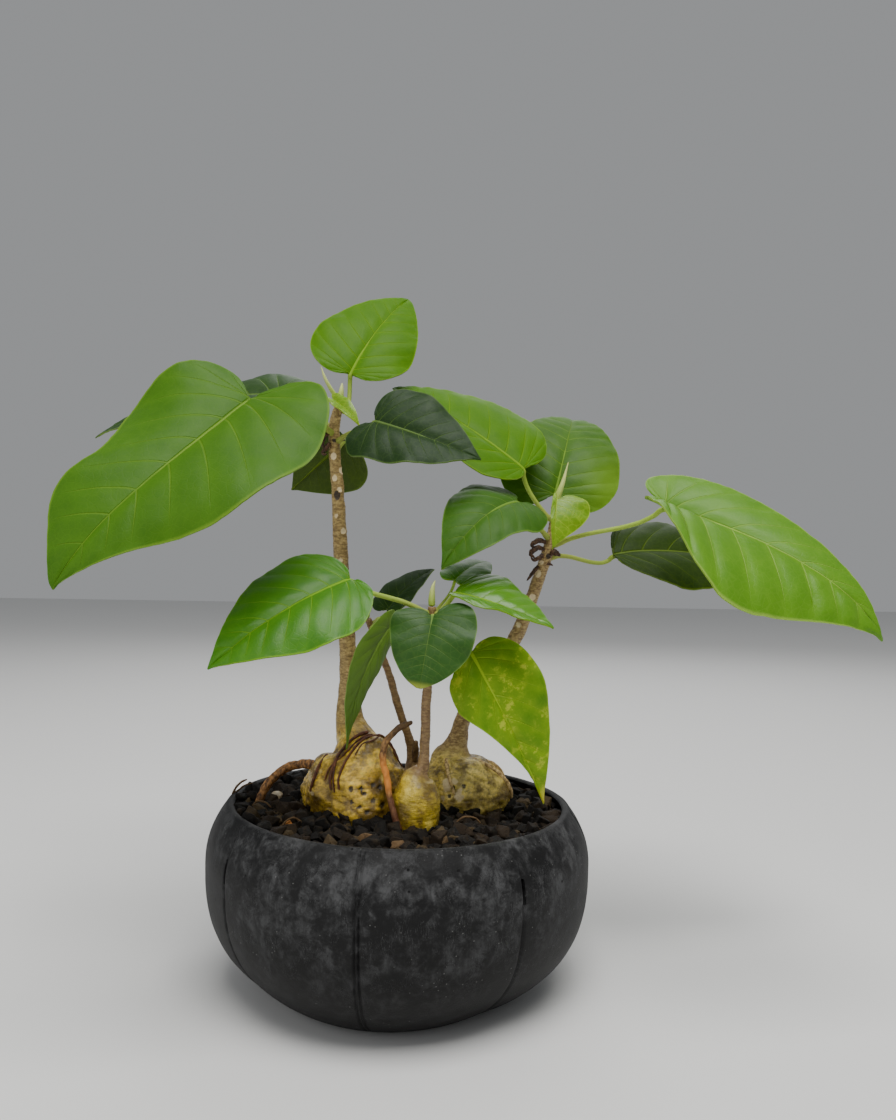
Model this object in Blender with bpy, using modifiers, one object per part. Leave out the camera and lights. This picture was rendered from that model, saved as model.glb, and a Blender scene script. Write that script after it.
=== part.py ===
"""Potted rock fig: four young plants with swollen bases, in a black lobed pot filled with grit.

Sizes are in millimetres here and become metres where a mesh is made. +Z is up, the origin is the middle
of the pot's foot, and the side of the pot that is seen first looks along -Y.
"""

import math
import random
from dataclasses import dataclass

import bmesh
import bpy
import numpy as np
from mathutils import Matrix, Vector, noise

MM = 0.001
GAP = 0.3

# Pot: its wall bulges to a waist, and has shallow valleys at the four slits.
POT_RADIUS = 74.7
POT_HEIGHT = 68.5
POT_WAIST_Z = 48.5
POT_TOP_HALF = 44.0
POT_FOOT_HALF = 58.4
POT_FOOT_POWER = 2.84
POT_WALL = 2.6
POT_FLOOR = 5.0
POT_SIDES = 48
POT_LOBES = 8
FIRST_GROOVE = math.radians(-97.3)
VALLEY_AT_RIM = 0.006
VALLEY_AT_FOOT = 0.055
RIM_FALL = math.tan(math.radians(0.8))
SLIT_WIDTH = 1.4
SLIT_HEIGHT = 8.8
SLIT_Z = 52.6
DRAIN_RADIUS = 4.5
INNER_HEIGHTS = (POT_FLOOR, 11, 20, 33, 47, 58, POT_HEIGHT - 1.0)
DRAIN_RING = 22.0

# Soil: a bed that falls to the right, covered with angular grains.
SOIL_Z = 66.2
SOIL_FALL = 0.035
SOIL_BED_DEPTH = 3.0
GRAINS = 62
GRAIN_RADIUS = (3.6, 5.2)
GRAIN_FIELD = 60.0
STONE_PLACE = (-49.0, 4.0)
STONE_RADIUS = 3.6

# Blades and stalks.
BLADE = 0.7
STEEPEST = 0.65        # least cosine of the slope that a blade is thickened for
STALK_RADIUS = 0.95
STALK_FOOT = 1.35
RIB_TIP_RADIUS = 0.4
RIB_END = 0.35
BLADE_ROWS = 10
BLADE_COLUMNS = 3
SMALL_ROWS = 8
SMALL_COLUMNS = 2

# One half of a heart-shaped blade, from the notch at the stalk round to the drip tip. Each row gives the
# edge point's place along the midrib, the same on a blade with no basal lobes, how far out from the midrib
# it is, and where the side vein that ends there leaves the midrib. All are shares of the blade's length,
# but for the third, which is a share of the half width.
HALF_BLADE = (
    (0.000, 0.000, 0.00, 0.00),
    (-0.080, 0.000, 0.12, 0.00),
    (-0.180, 0.005, 0.29, 0.00),
    (-0.210, 0.030, 0.53, 0.00),
    (-0.120, 0.090, 0.79, 0.00),
    (0.060, 0.170, 0.96, 0.00),
    (0.260, 0.290, 1.00, 0.05),
    (0.450, 0.450, 0.88, 0.19),
    (0.620, 0.620, 0.66, 0.38),
    (0.770, 0.770, 0.39, 0.60),
    (0.880, 0.880, 0.18, 0.79),
    (0.950, 0.950, 0.06, 0.92),
    (1.000, 1.000, 0.00, 1.00),
)
WIDEST = 0.26
MIDRIB_STEPS = 60
LOBE_STEPS = 26

PLANT = "potted_rock_fig"


@dataclass
class Trunk:
    """A plant's taproot, swollen base and stem in one piece: centre line points and radii from below."""

    name: str
    line: tuple
    sides: int
    swell: tuple = ()
    rough: float = 0.0


@dataclass
class Leaf:
    """A blade between two points in space. Pairs of shares are for its left and its right half."""

    name: str
    trunk: str
    node_z: float
    base: tuple
    tip: tuple
    faces: tuple
    colour: str
    half: tuple = (0.36, 0.36)
    lobe: tuple = (0.6, 0.6)
    full: tuple = (0.8, 0.8)
    narrow: tuple = (0.0, 0.0)
    dents: tuple = ()
    bend: float = 40.0
    tip_bend: float = 0.0
    fold: tuple = (14.0, 6.0)
    curl: float = 35.0
    twist: float = 0.0
    sweep: float = 0.0
    wave: float = 0.02
    waves: float = 2.5
    phase: float = 0.0
    small: bool = False
    reach: tuple = (0.35, 0.35)


# Swellings are (direction in degrees, height, how far out, width in degrees, half height).
TRUNKS = (
    Trunk(
        "trunk_left",
        (
            (-19, -4, 40, 5), (-18.5, -5, 52, 12), (-17.5, -5, 61, 17.5), (-16.8, -5, 68, 19),
            (-16.5, -5, 74, 19.2), (-16.5, -5, 79, 18.7), (-16, -4.5, 83, 17), (-15.2, -3, 87, 13),
            (-17.2, -0.5, 91, 9), (-19.4, 1.8, 95.5, 6.8), (-21, 3, 101, 5.4), (-21.6, 4, 115, 3.7),
            (-22.5, 4.5, 132, 3.3), (-24.5, 5, 150, 3.1), (-26, 5, 170, 2.8), (-27.3, 5, 190, 2.5),
            (-29, 5, 208, 2.3), (-29, 5, 219, 2.1), (-27, 4.5, 227, 1.7),
        ),
        16,
        ((-75, 68, 4.0, 28, 9), (170, 72, 2.5, 30, 8), (-140, 76, 1.5, 25, 7)),
        1.3,
    ),
    Trunk(
        "trunk_centre",
        (
            (7, -24, 46, 3), (7.2, -24.5, 55, 6), (7.4, -25, 62, 7.6), (7.5, -25, 68, 8.6), (7.6, -25, 74, 8.8),
            (7.5, -25, 79, 7.7), (7.7, -25, 82.5, 5.6), (8.8, -25, 85, 3.2), (9.9, -25, 87.5, 2.1),
            (10.3, -25, 97, 1.8), (10.7, -25, 112, 1.7), (11.4, -25, 130, 1.6), (12.1, -25, 146, 1.5),
        ),
        14,
        (),
        0.5,
    ),
    Trunk(
        "trunk_right",
        (
            (26, 12, 42, 4.5), (26, 12, 54, 12), (26, 11.5, 62, 17), (25.7, 11, 68, 17.5), (24.6, 11, 74, 15.8),
            (22.8, 11.5, 79, 12.8), (21.3, 12, 83, 9), (22, 12, 86.5, 5.8), (23.2, 12, 91, 4),
            (25.6, 11.5, 100, 3.1), (35, 10.5, 115, 3), (44.5, 9.5, 130, 2.9), (49.5, 9, 141, 2.7),
            (54, 8.5, 154, 2.5), (58.5, 8, 168, 2.4), (61, 8, 178, 2.2), (61.4, 8, 187, 1.6),
        ),
        16,
        ((-25, 72, 2.2, 25, 8), (-95, 70, 2.0, 28, 8), (-160, 74, 2.0, 30, 7)),
        1.2,
    ),
    Trunk(
        "trunk_back",
        (
            (4.6, 23, 52, 1.8), (4.6, 23, 60, 3.6), (4.6, 23, 68, 4.6), (4.6, 23, 74, 4.2), (4.2, 23, 80, 2.6),
            (2.6, 22.5, 88, 1.8), (-2, 21, 101, 1.6), (-6.4, 19, 116, 1.5), (-11, 17, 128, 1.4),
            (-15.1, 15, 139, 1.3),
        ),
        10,
        (),
        0.3,
    ),
)

LEAVES = (
    Leaf(
        "leaf_left_front", "trunk_left", 214, (-54, -38, 220), (-106, -77.5, 151.5), (-0.05, -0.85, 0.55), "mid",
        half=(0.38, 0.34), lobe=(0.7, 0.3), full=(1, 0.65), narrow=(-0.1, -0.05),
        dents=((0, 0.61, -0.06, 0.07), (0, 0.75, 0.07, 0.07), (1, 0.33, -0.03, 0.07), (1, 0.61, 0.21, 0.07), (1, 0.75, -0.15, 0.07)),
        bend=11, tip_bend=35, fold=(21, 4), curl=26, twist=-10, sweep=-9, wave=0.05, waves=1.43, phase=0.3,
        reach=(0.4, 0.4),
    ),
    Leaf(
        "leaf_left_behind", "trunk_left", 217, (-56, 25, 234), (-142, 45, 217), (0, -0.5, 0.8), "dark",
        half=(0.36, 0.3), full=(1.2, 1.2), bend=30,
    ),
    Leaf(
        "leaf_left_top", "trunk_left", 224, (-23, 5, 239), (-1.5, 36, 279), (0.05, -0.95, 0.35), "bright",
        half=(0.42, 0.37), lobe=(0.25, 0.15), full=(0.8, 0.65), narrow=(0.05, 0.1), bend=30, fold=(14, 4),
        curl=32, sweep=-10, wave=0.015,
    ),
    Leaf(
        "leaf_left_young", "trunk_left", 225, (-29, -2, 227), (-17.5, -10, 215.5), (0.3, -0.9, 0.4), "bright",
        half=(0.2, 0.2), fold=(40, 30), small=True,
    ),
    Leaf(
        "leaf_left_right", "trunk_left", 211, (-11.5, -12, 217), (29.5, -22, 201.5), (0.2, -0.9, 0.4), "dark",
        half=(0.42, 0.38), lobe=(0.25, 0.7), full=(0.8, 0.85), narrow=(0, -0.2),
        dents=((1, 0.33, -0.06, 0.07), (1, 0.47, 0.05, 0.07), (1, 0.61, 0.03, 0.07)), bend=30, tip_bend=-5,
        fold=(15, 9), curl=25, twist=-14, sweep=4, phase=-0.05,
    ),
    Leaf(
        "leaf_left_back", "trunk_left", 208, (-26, 14, 213), (-49, 22, 193), (0.3, 1, 0.6), "dark",
        half=(0.42, 0.6), lobe=(0.2, 0.2), narrow=(0.3, 0), bend=30,
    ),
    Leaf(
        "leaf_right_left", "trunk_right", 181, (47.5, 0, 201), (-6.5, 18, 236), (0.25, -0.65, 0.7), "bright",
        half=(0.3, 0.45), lobe=(0.2, 0.25), full=(0.7, 0.7), narrow=(0, 0.1), bend=25, fold=(13, 7), curl=26,
        twist=3, sweep=-5, wave=0.005,
    ),
    Leaf(
        "leaf_right_upright", "trunk_right", 184, (62.5, 18, 192.5), (73.5, 49.5, 229), (-0.05, -0.95, 0.3), "dark",
        half=(0.52, 0.5), lobe=(0.7, 0.6), full=(0.4, 0.4), bend=51, tip_bend=3, fold=(13, 9), curl=37,
        twist=-2, wave=0.015,
    ),
    Leaf(
        "leaf_right_low_left", "trunk_right", 173, (45, -8, 187), (15.5, -30.5, 160), (-0.15, -0.8, 0.55), "mid",
        half=(0.32, 0.41), lobe=(0.6, 0.5), full=(0.7, 1), narrow=(-0.2, 0.05),
        dents=((0, 0.47, -0.04, 0.07), (0, 0.61, 0.07, 0.07)), bend=66, tip_bend=9, fold=(10, 9), curl=37,
        twist=7, sweep=9, wave=0.01,
    ),
    Leaf(
        "leaf_right_young", "trunk_right", 185, (60.5, -4, 188.5), (58.5, -9.5, 168.5), (0.1, -0.95, 0.3), "bright",
        half=(0.61, 0.09), lobe=(0.55, 0.7), full=(1.15, 0.8), narrow=(-0.15, 0),
        dents=((0, 0.33, -0.03, 0.07),), bend=43, fold=(15, 6), curl=29, twist=-4, sweep=6, phase=-0.05,
        small=True,
    ),
    Leaf(
        "leaf_right_front", "trunk_right", 171, (100.5, -15.5, 185.5), (171, -43, 137), (0.05, -0.65, 0.75), "mid",
        half=(0.22, 0.44), lobe=(0.6, 0.35), full=(0.9, 0.9), narrow=(0.05, 0.6),
        dents=((1, 0.61, -0.09, 0.07),), bend=19, tip_bend=38, fold=(36, 2), curl=28, twist=19, sweep=-3,
        wave=0,
    ),
    Leaf(
        "leaf_right_under", "trunk_right", 166, (88, 22, 167.5), (164.5, 50.5, 150.5), (0, -0.6, 0.8), "dark",
        half=(0.29, 0.27), lobe=(-0.05, 0), full=(0.9, 0.85), narrow=(0, 0.05),
        dents=((1, 0.61, -0.03, 0.07),), bend=54, tip_bend=6, fold=(16, 6), twist=5, wave=0.015, phase=-0.05,
    ),
    Leaf(
        "leaf_centre_left", "trunk_centre", 143, (-17, -38, 156), (-61, -62, 125.5), (0, -0.7, 0.7), "mid",
        half=(0.37, 0.38), lobe=(0.2, 0.2), full=(0.85, 0.85), narrow=(0.05, 0.05),
        dents=((0, 0.61, -0.03, 0.07),), bend=37, fold=(14, 5), curl=33, twist=-4, wave=0.015, phase=-0.05,
    ),
    Leaf(
        "leaf_centre_front", "trunk_centre", 141, (12.5, -33, 143), (8.5, -42.5, 118), (-0.05, -0.85, 0.5), "dark",
        half=(0.62, 0.51), lobe=(0.9, 0.35), full=(0.55, 0.45), narrow=(-0.05, -0.15),
        dents=((0, 0.47, 0.03, 0.07), (1, 0.33, -0.04, 0.07)), bend=42, fold=(18, 5), curl=24, twist=-4,
        sweep=-7, wave=0.025, phase=0.05,
    ),
    Leaf(
        "leaf_centre_right", "trunk_centre", 143, (20.5, -28, 151.5), (56, -38, 139.5), (0.1, -0.5, 0.85), "bright",
        half=(0.47, 0.13), lobe=(-0.15, 0.2), full=(0.85, 0.8), bend=31, tip_bend=-8, fold=(17, 6), curl=25,
        twist=-5, sweep=6, wave=0.015,
    ),
    Leaf(
        "leaf_centre_back", "trunk_centre", 144, (20.5, -14, 156), (34.5, 5, 163), (-0.2, -0.7, 0.7), "dark",
        half=(0.36, 0.4), lobe=(0.4, 0.4), small=True,
    ),
    Leaf(
        "leaf_centre_low", "trunk_centre", 138, (27, -23.5, 129), (55, -22.5, 73), (0.15, -0.95, 0.25), "mottled",
        half=(0.33, 0.22), lobe=(0.2, -0.1), full=(1, 2.8), narrow=(0.05, -0.2),
        dents=((1, 0.33, -0.08, 0.07), (1, 0.61, 0.08, 0.07)), bend=36, tip_bend=-4, fold=(14, 7), curl=31,
        twist=-5,
    ),
    Leaf(
        "leaf_back_up", "trunk_back", 137, (-7, 14, 143), (12, 24, 160), (-0.3, -0.6, 0.8), "dark",
        half=(0.45, 0.25), lobe=(0.5, 0.5), small=True,
    ),
    Leaf(
        "leaf_back_down", "trunk_back", 135, (-4.5, -12, 137), (-19.5, -17.5, 91), (0.75, -0.5, 0.45), "dark",
        half=(0.13, 0.17), full=(1.3, 1.35), narrow=(0.05, 0.05), bend=9, tip_bend=-5, fold=(13, 7), curl=36,
        twist=3, sweep=46, wave=0.01, phase=0.05,
    ),
)

COLOURS = {
    "pot": ((0.022, 0.022, 0.024), 0.7),
    "soil": ((0.020, 0.014, 0.011), 0.95),
    "stone": ((0.45, 0.40, 0.30), 0.9),
    "bark": ((0.30, 0.19, 0.08), 0.75),
    "bright": ((0.12, 0.30, 0.02), 0.35),
    "mid": ((0.06, 0.19, 0.03), 0.45),
    "dark": ((0.025, 0.09, 0.03), 0.45),
    "mottled": ((0.12, 0.22, 0.03), 0.5),
    "bud": ((0.30, 0.40, 0.05), 0.5),
    "root": ((0.09, 0.04, 0.02), 0.85),
}


def clear_scene():
    for obj in list(bpy.data.objects):
        bpy.data.objects.remove(obj)


def new_collection(name):
    collection = bpy.data.collections.new(name)
    bpy.context.scene.collection.children.link(collection)
    return collection


def material(name):
    if name in bpy.data.materials:
        return bpy.data.materials[name]
    made = bpy.data.materials.new(name)
    made.use_nodes = True
    colour, roughness = COLOURS[name]
    shader = made.node_tree.nodes["Principled BSDF"]
    shader.inputs["Base Color"].default_value = (*colour, 1)
    shader.inputs["Roughness"].default_value = roughness
    shader.inputs["Metallic"].default_value = 0
    return made


def place(name, mesh, collection, colour=None):
    """A mesh in millimetres becomes an object in metres."""
    obj = bpy.data.objects.new(name, mesh)
    collection.objects.link(obj)
    if colour:
        mesh.materials.clear()
        mesh.materials.append(material(colour))
    return obj


def evaluated(obj):
    graph = bpy.context.evaluated_depsgraph_get()
    return bpy.data.meshes.new_from_object(obj.evaluated_get(graph))


def settled(obj):
    """The object with its modifiers applied to its mesh."""
    mesh = evaluated(obj)
    old = obj.data
    obj.modifiers.clear()
    obj.data = mesh
    bpy.data.meshes.remove(old)
    return obj


def tidy(mesh, merge=0.00002):
    """Joins points that lie on each other and turns the faces outwards."""
    bm = bmesh.new()
    bm.from_mesh(mesh)
    bmesh.ops.remove_doubles(bm, verts=bm.verts, dist=merge)
    bmesh.ops.dissolve_degenerate(bm, edges=bm.edges, dist=merge / 4)
    bmesh.ops.recalc_face_normals(bm, faces=bm.faces)
    bm.to_mesh(mesh)
    bm.free()
    return mesh


def short_diagonals(mesh):
    """Cuts twisted faces along their shorter diagonal, so that a piece and its pocket are cut alike."""
    bm = bmesh.new()
    bm.from_mesh(mesh)
    bmesh.ops.triangulate(bm, faces=bm.faces, quad_method="SHORT_EDGE")
    bm.to_mesh(mesh)
    bm.free()


def drop_chips(bm):
    """Removes every loose body but the one with the most points."""
    left = set(bm.verts)
    bodies = []
    while left:
        body = set()
        reached = [next(iter(left))]
        while reached:
            vert = reached.pop()
            if vert not in body:
                body.add(vert)
                reached.extend(edge.other_vert(vert) for edge in vert.link_edges)
        bodies.append(body)
        left -= body
    bodies.sort(key=len)
    chips = [vert for body in bodies[:-1] for vert in body]
    bmesh.ops.delete(bm, geom=chips, context="VERTS")


def split_faces(mesh):
    """Cuts every face into triangles. It tries again until no edge has more than two of them."""
    for merge in (0.00003, 0.00005, 0.00001, 0.0):
        for method in ("BEAUTY", "EAR_CLIP"):
            bm = bmesh.new()
            bm.from_mesh(mesh)
            drop_chips(bm)
            if merge:
                bmesh.ops.remove_doubles(bm, verts=bm.verts, dist=merge)
                bmesh.ops.dissolve_degenerate(bm, edges=bm.edges, dist=merge / 3)
            bmesh.ops.triangulate(bm, faces=bm.faces, ngon_method=method)
            clean = all(len(edge.link_faces) == 2 for edge in bm.edges)
            if clean:
                bm.to_mesh(mesh)
            bm.free()
            if clean:
                return
    raise ValueError(f"{mesh.name} can't be cut into a closed skin of triangles")


def boolean(obj, operation, others):
    """Joins, cuts or intersects obj with a list of objects, which are then removed."""
    helpers = bpy.data.collections.new("operands")
    settled(obj)
    for other in others:
        helpers.objects.link(other)
    for part in (obj, *others):
        short_diagonals(part.data)
    modifier = obj.modifiers.new(operation.lower(), "BOOLEAN")
    modifier.operation = operation
    modifier.operand_type = "COLLECTION"
    modifier.collection = helpers
    modifier.solver = "MANIFOLD"
    settled(obj)
    for other in others:
        bpy.data.objects.remove(other)
    bpy.data.collections.remove(helpers)
    split_faces(obj.data)
    return obj


def round_off(obj, angle=35):
    obj.data.shade_smooth()
    obj.data.set_sharp_from_angle(angle=math.radians(angle))


def tube(points, radii, resolution=1):
    """A closed round bar along points in millimetres, as a mesh object outside every collection."""
    curve = bpy.data.curves.new("bar", "CURVE")
    curve.dimensions = "3D"
    curve.bevel_depth = MM
    curve.bevel_resolution = resolution
    curve.use_fill_caps = True
    spline = curve.splines.new("POLY")
    spline.points.add(len(points) - 1)
    for target, point, radius in zip(spline.points, points, radii):
        target.co = (*(Vector(point) * MM), 1)
        target.radius = radius
    obj = bpy.data.objects.new("bar", curve)
    bpy.context.scene.collection.objects.link(obj)
    mesh = tidy(evaluated(obj))
    bpy.data.objects.remove(obj)
    bpy.data.curves.remove(curve)
    return bpy.data.objects.new("bar", mesh)


def smooth_line(points, steps):
    """Points evenly along a smooth curve through the given ones. Each may hold a radius as its last value."""
    points = [np.array(point, float) for point in points]
    ends = [2 * points[0] - points[1], *points, 2 * points[-1] - points[-2]]
    line = []
    for i in range(len(points) - 1):
        a, b, c, d = ends[i : i + 4]
        for k in range(steps):
            f = k / steps
            line.append(
                0.5 * (2 * b + (c - a) * f + (2 * a - 5 * b + 4 * c - d) * f**2 + (3 * b - a - 3 * c + d) * f**3)
            )
    line.append(points[-1])
    return line


# Pot and soil


def wall_radius(z, inset=0.0):
    """The pot's outer radius at a height, or one that lies this far inside the wall's face."""
    if z > POT_WAIST_Z:
        share = ((z - POT_WAIST_Z) / (POT_TOP_HALF - inset)) ** 2
    else:
        share = ((POT_WAIST_Z - z) / (POT_FOOT_HALF - inset)) ** POT_FOOT_POWER
    return (POT_RADIUS - inset) * math.sqrt(max(0.0, 1 - share))


def lobed(x, y, z):
    """Draws a round pot point in at the slits and lowers the right side of the rim."""
    valley = 1 - abs(math.cos(POT_LOBES / 4 * (math.atan2(y, x) - FIRST_GROOVE)))
    height = min(max(z / POT_HEIGHT, 0.0), 1.0)
    depth = VALLEY_AT_RIM + (VALLEY_AT_FOOT - VALLEY_AT_RIM) * (1 - height) ** 2
    shrink = 1 - depth * valley
    return x * shrink, y * shrink, z - RIM_FALL * x * (z / POT_HEIGHT) ** 2


def lathe(name, profile, collection):
    """A turned solid from a profile in millimetres that runs down its outer side."""
    bm = bmesh.new()
    verts = [bm.verts.new((radius * MM, 0, z * MM)) for radius, z in profile]
    for start, end in zip(verts, verts[1:]):
        bm.edges.new((start, end))
    bmesh.ops.rotate(bm, verts=bm.verts, matrix=Matrix.Rotation(FIRST_GROOVE, 3, "Z"))
    mesh = bpy.data.meshes.new(name)
    bm.to_mesh(mesh)
    bm.free()
    obj = place(name, mesh, collection)
    screw = obj.modifiers.new("turn", "SCREW")
    screw.steps = POT_SIDES
    screw.render_steps = POT_SIDES
    screw.use_merge_vertices = True
    screw.merge_threshold = 0.00005
    settled(obj)
    tidy(obj.data)
    return obj


def reshape(obj, rule):
    for vert in obj.data.vertices:
        vert.co = Vector(rule(*(vert.co / MM))) * MM


def pot_profile():
    """The floor's top, the inner wall going up, the rim, the outer wall going down and the foot."""
    outer_heights = (POT_HEIGHT - 1.2, 63, 56, 48, 39, 29, 20, 12, 6, 2.5, 0.8)
    profile = [(0, POT_FLOOR), (24, POT_FLOOR)]
    profile += [(wall_radius(z, POT_WALL), z) for z in INNER_HEIGHTS]
    rim_middle = (wall_radius(POT_HEIGHT) + wall_radius(POT_HEIGHT, POT_WALL)) / 2
    profile += [(rim_middle, POT_HEIGHT)]
    profile += [(wall_radius(z), z) for z in outer_heights]
    profile += [(wall_radius(0) - 1.2, 0), (24, 0), (0, 0)]
    return profile


def make_pot(collection, cutters):
    pot = lathe("pot", pot_profile(), collection)
    reshape(pot, lobed)
    short_diagonals(pot.data)
    pot.data.materials.append(material("pot"))
    cutter_list = []
    for i in range(0, POT_LOBES, 2):
        angle = FIRST_GROOVE + math.radians(45) + i * math.tau / POT_LOBES
        radius = wall_radius(SLIT_Z)
        centre = Vector(lobed(radius * math.cos(angle), radius * math.sin(angle), SLIT_Z)) * MM
        bpy.ops.mesh.primitive_cube_add(size=1, location=centre, rotation=(0, 0, angle))
        slit = bpy.context.object
        slit.name = f"slit_{i // 2 + 1}"
        slit.scale = Vector((4 * POT_WALL, SLIT_WIDTH, SLIT_HEIGHT)) * MM
        cutter_list.append(slit)
    for i in range(3):
        angle = math.radians(30) + i * math.tau / 3
        centre = Vector((DRAIN_RING * math.cos(angle), DRAIN_RING * math.sin(angle), POT_FLOOR / 2)) * MM
        bpy.ops.mesh.primitive_cylinder_add(
            vertices=16, radius=DRAIN_RADIUS * MM, depth=3 * POT_FLOOR * MM, location=centre
        )
        drain = bpy.context.object
        drain.name = f"drain_{i + 1}"
        cutter_list.append(drain)
    for cutter in cutter_list:
        for owner in list(cutter.users_collection):
            owner.objects.unlink(cutter)
        cutters.objects.link(cutter)
        cutter.hide_render = True
        cutter.display_type = "WIRE"
    cut = pot.modifiers.new("slits and drains", "BOOLEAN")
    cut.operation = "DIFFERENCE"
    cut.operand_type = "COLLECTION"
    cut.collection = cutters
    round_off(pot, 30)
    return pot


def soil_height(x, y):
    return SOIL_Z - SOIL_FALL * x + 1.2 * noise.noise(Vector((x, y, 5.0)) / 23)


def inner_radius(z):
    """The radius of the pot's faceted inner wall at a height."""
    radii = [wall_radius(height, POT_WALL) for height in INNER_HEIGHTS]
    return float(np.interp(z, INNER_HEIGHTS, radii))


def filling(name, collection, top):
    """A solid that fits the pot's inside up to top(x, y), one gap clear of the wall and the floor."""
    rings = [POT_FLOOR + GAP, *INNER_HEIGHTS[1:-1]]
    high = len(rings)
    profile = [(0, high), (0.45, high), *[(1.0, i) for i in range(high, -1, -1)], (0.45, 0), (0, 0)]
    obj = lathe(name, profile, collection)

    def rule(x, y, ring):
        z = rings[round(ring)] if ring < high - 0.5 else top(x * GRAIN_FIELD, y * GRAIN_FIELD)
        radius = inner_radius(z) - GAP - 0.05
        return lobed(x * radius, y * radius, z)

    reshape(obj, rule)
    return obj


def grain(rng, centre, radius):
    """An angular grain: a squashed, knocked-about icosahedron, as an object outside every collection."""
    bm = bmesh.new()
    bmesh.ops.create_icosphere(bm, subdivisions=1, radius=radius * MM)
    for vert in bm.verts:
        vert.co *= rng.uniform(0.8, 1.15)
    squash = Matrix.Diagonal((rng.uniform(0.8, 1.2), rng.uniform(0.8, 1.2), rng.uniform(0.7, 1.0)))
    turn = Matrix.Rotation(rng.uniform(0, math.tau), 3, "Z") @ Matrix.Rotation(rng.uniform(0, 1.2), 3, "X")
    bmesh.ops.transform(bm, verts=bm.verts, matrix=(turn @ squash).to_4x4())
    bmesh.ops.translate(bm, verts=bm.verts, vec=Vector(centre) * MM)
    mesh = bpy.data.meshes.new("grain")
    bm.to_mesh(mesh)
    bm.free()
    return bpy.data.objects.new("grain", mesh)


def grains():
    rng = random.Random(11)
    made = []
    for i in range(GRAINS):
        reach = GRAIN_FIELD * math.sqrt((i + 0.5) / GRAINS)
        angle = i * math.pi * (3 - math.sqrt(5)) + rng.uniform(-0.05, 0.05)
        x = reach * math.cos(angle) + rng.uniform(-1, 1)
        y = reach * math.sin(angle) + rng.uniform(-1, 1)
        radius = rng.uniform(*GRAIN_RADIUS)
        z = soil_height(x, y) - 0.35 * radius + rng.uniform(-0.5, 0.5)
        made.append(grain(rng, lobed(x, y, z), radius))
    return made


def make_soil(collection, pockets):
    """The bed and its grains in one body, cut to the wall, with a hole for each plant and the pale stone."""
    soil = filling("soil", collection, lambda x, y: soil_height(x, y) - SOIL_BED_DEPTH)
    boolean(soil, "UNION", grains())
    inside = filling("inside", collection, lambda x, y: POT_HEIGHT + 6)
    collection.objects.unlink(inside)
    boolean(soil, "INTERSECT", [inside])
    boolean(soil, "DIFFERENCE", pockets)
    soil.data.materials.clear()
    soil.data.materials.append(material("soil"))
    return soil


def stone(grow=0.0):
    x, y = STONE_PLACE
    centre = lobed(x, y, soil_height(x, y) - SOIL_BED_DEPTH + 0.55 * STONE_RADIUS)
    return grain(random.Random(3), centre, STONE_RADIUS + grow)


# Trunks


def trunk_frame(line, i):
    """The centre, radius and two across directions of a trunk's ring."""
    here = line[i]
    along = Vector(line[min(i + 1, len(line) - 1)][:3]) - Vector(line[max(i - 1, 0)][:3])
    lean = min(1.0, 5.0 / here[3])
    along = Vector((along.x * lean, along.y * lean, along.z)).normalized()
    across = (Vector((1, 0, 0)) - along * along.x).normalized()
    return Vector(here[:3]), here[3], across, along.cross(across)


def trunk_point(trunk, line, i, angle, grow=0.0):
    centre, radius, across, over = trunk_frame(line, i)
    swollen = radius + grow
    for direction, height, out, width, half_height in trunk.swell:
        turn = (math.degrees(angle) - direction + 180) % 360 - 180
        swollen += out * math.exp(-((turn / width) ** 2) - ((centre.z - height) / half_height) ** 2)
    side = across * math.cos(angle) + over * math.sin(angle)
    if trunk.rough and radius > 4:
        swollen += trunk.rough * min(1, (radius - 4) / 6) * noise.noise((centre + side * radius) / 7)
    return centre + side * swollen


def trunk_shape(trunk, steps=1, grow=0.0, top=None):
    """The trunk's skin as a mesh object outside every collection: a grid wrapped round its centre line."""
    line = smooth_line(trunk.line, steps)
    line[0] = line[0] + (0, 0, -grow, 0)
    if top is not None:
        line = [point for point in line if point[2] < top]
    bm = bmesh.new()
    rings = len(line) - 1
    bmesh.ops.create_grid(bm, x_segments=trunk.sides, y_segments=rings, size=1)
    for vert in bm.verts:
        angle = (vert.co.x + 1) * math.pi
        i = round((vert.co.y + 1) / 2 * rings)
        vert.co = trunk_point(trunk, line, i, angle, grow) * MM
    bmesh.ops.remove_doubles(bm, verts=bm.verts, dist=0.00001)
    bmesh.ops.holes_fill(bm, edges=bm.edges, sides=trunk.sides)
    bmesh.ops.recalc_face_normals(bm, faces=bm.faces)
    mesh = bpy.data.meshes.new(trunk.name)
    bm.to_mesh(mesh)
    bm.free()
    short_diagonals(mesh)
    return bpy.data.objects.new(trunk.name, mesh)


def on_trunk(trunk, direction, z, out=0.0):
    """A point on a trunk's skin at a direction in degrees and a height, this far outside it."""
    line = smooth_line(trunk.line, 2)
    i = min(range(len(line)), key=lambda k: abs(line[k][2] - z))
    return trunk_point(trunk, line, i, math.radians(direction), out) + Vector((0, 0, z - line[i][2]))


def axis_at(trunk, z):
    """The trunk's centre and radius at a height."""
    for low, high in zip(trunk.line, trunk.line[1:]):
        if low[2] <= z <= high[2]:
            share = (z - low[2]) / (high[2] - low[2])
            return [a + (b - a) * share for a, b in zip(low, high)]
    return list(trunk.line[-1])


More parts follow.
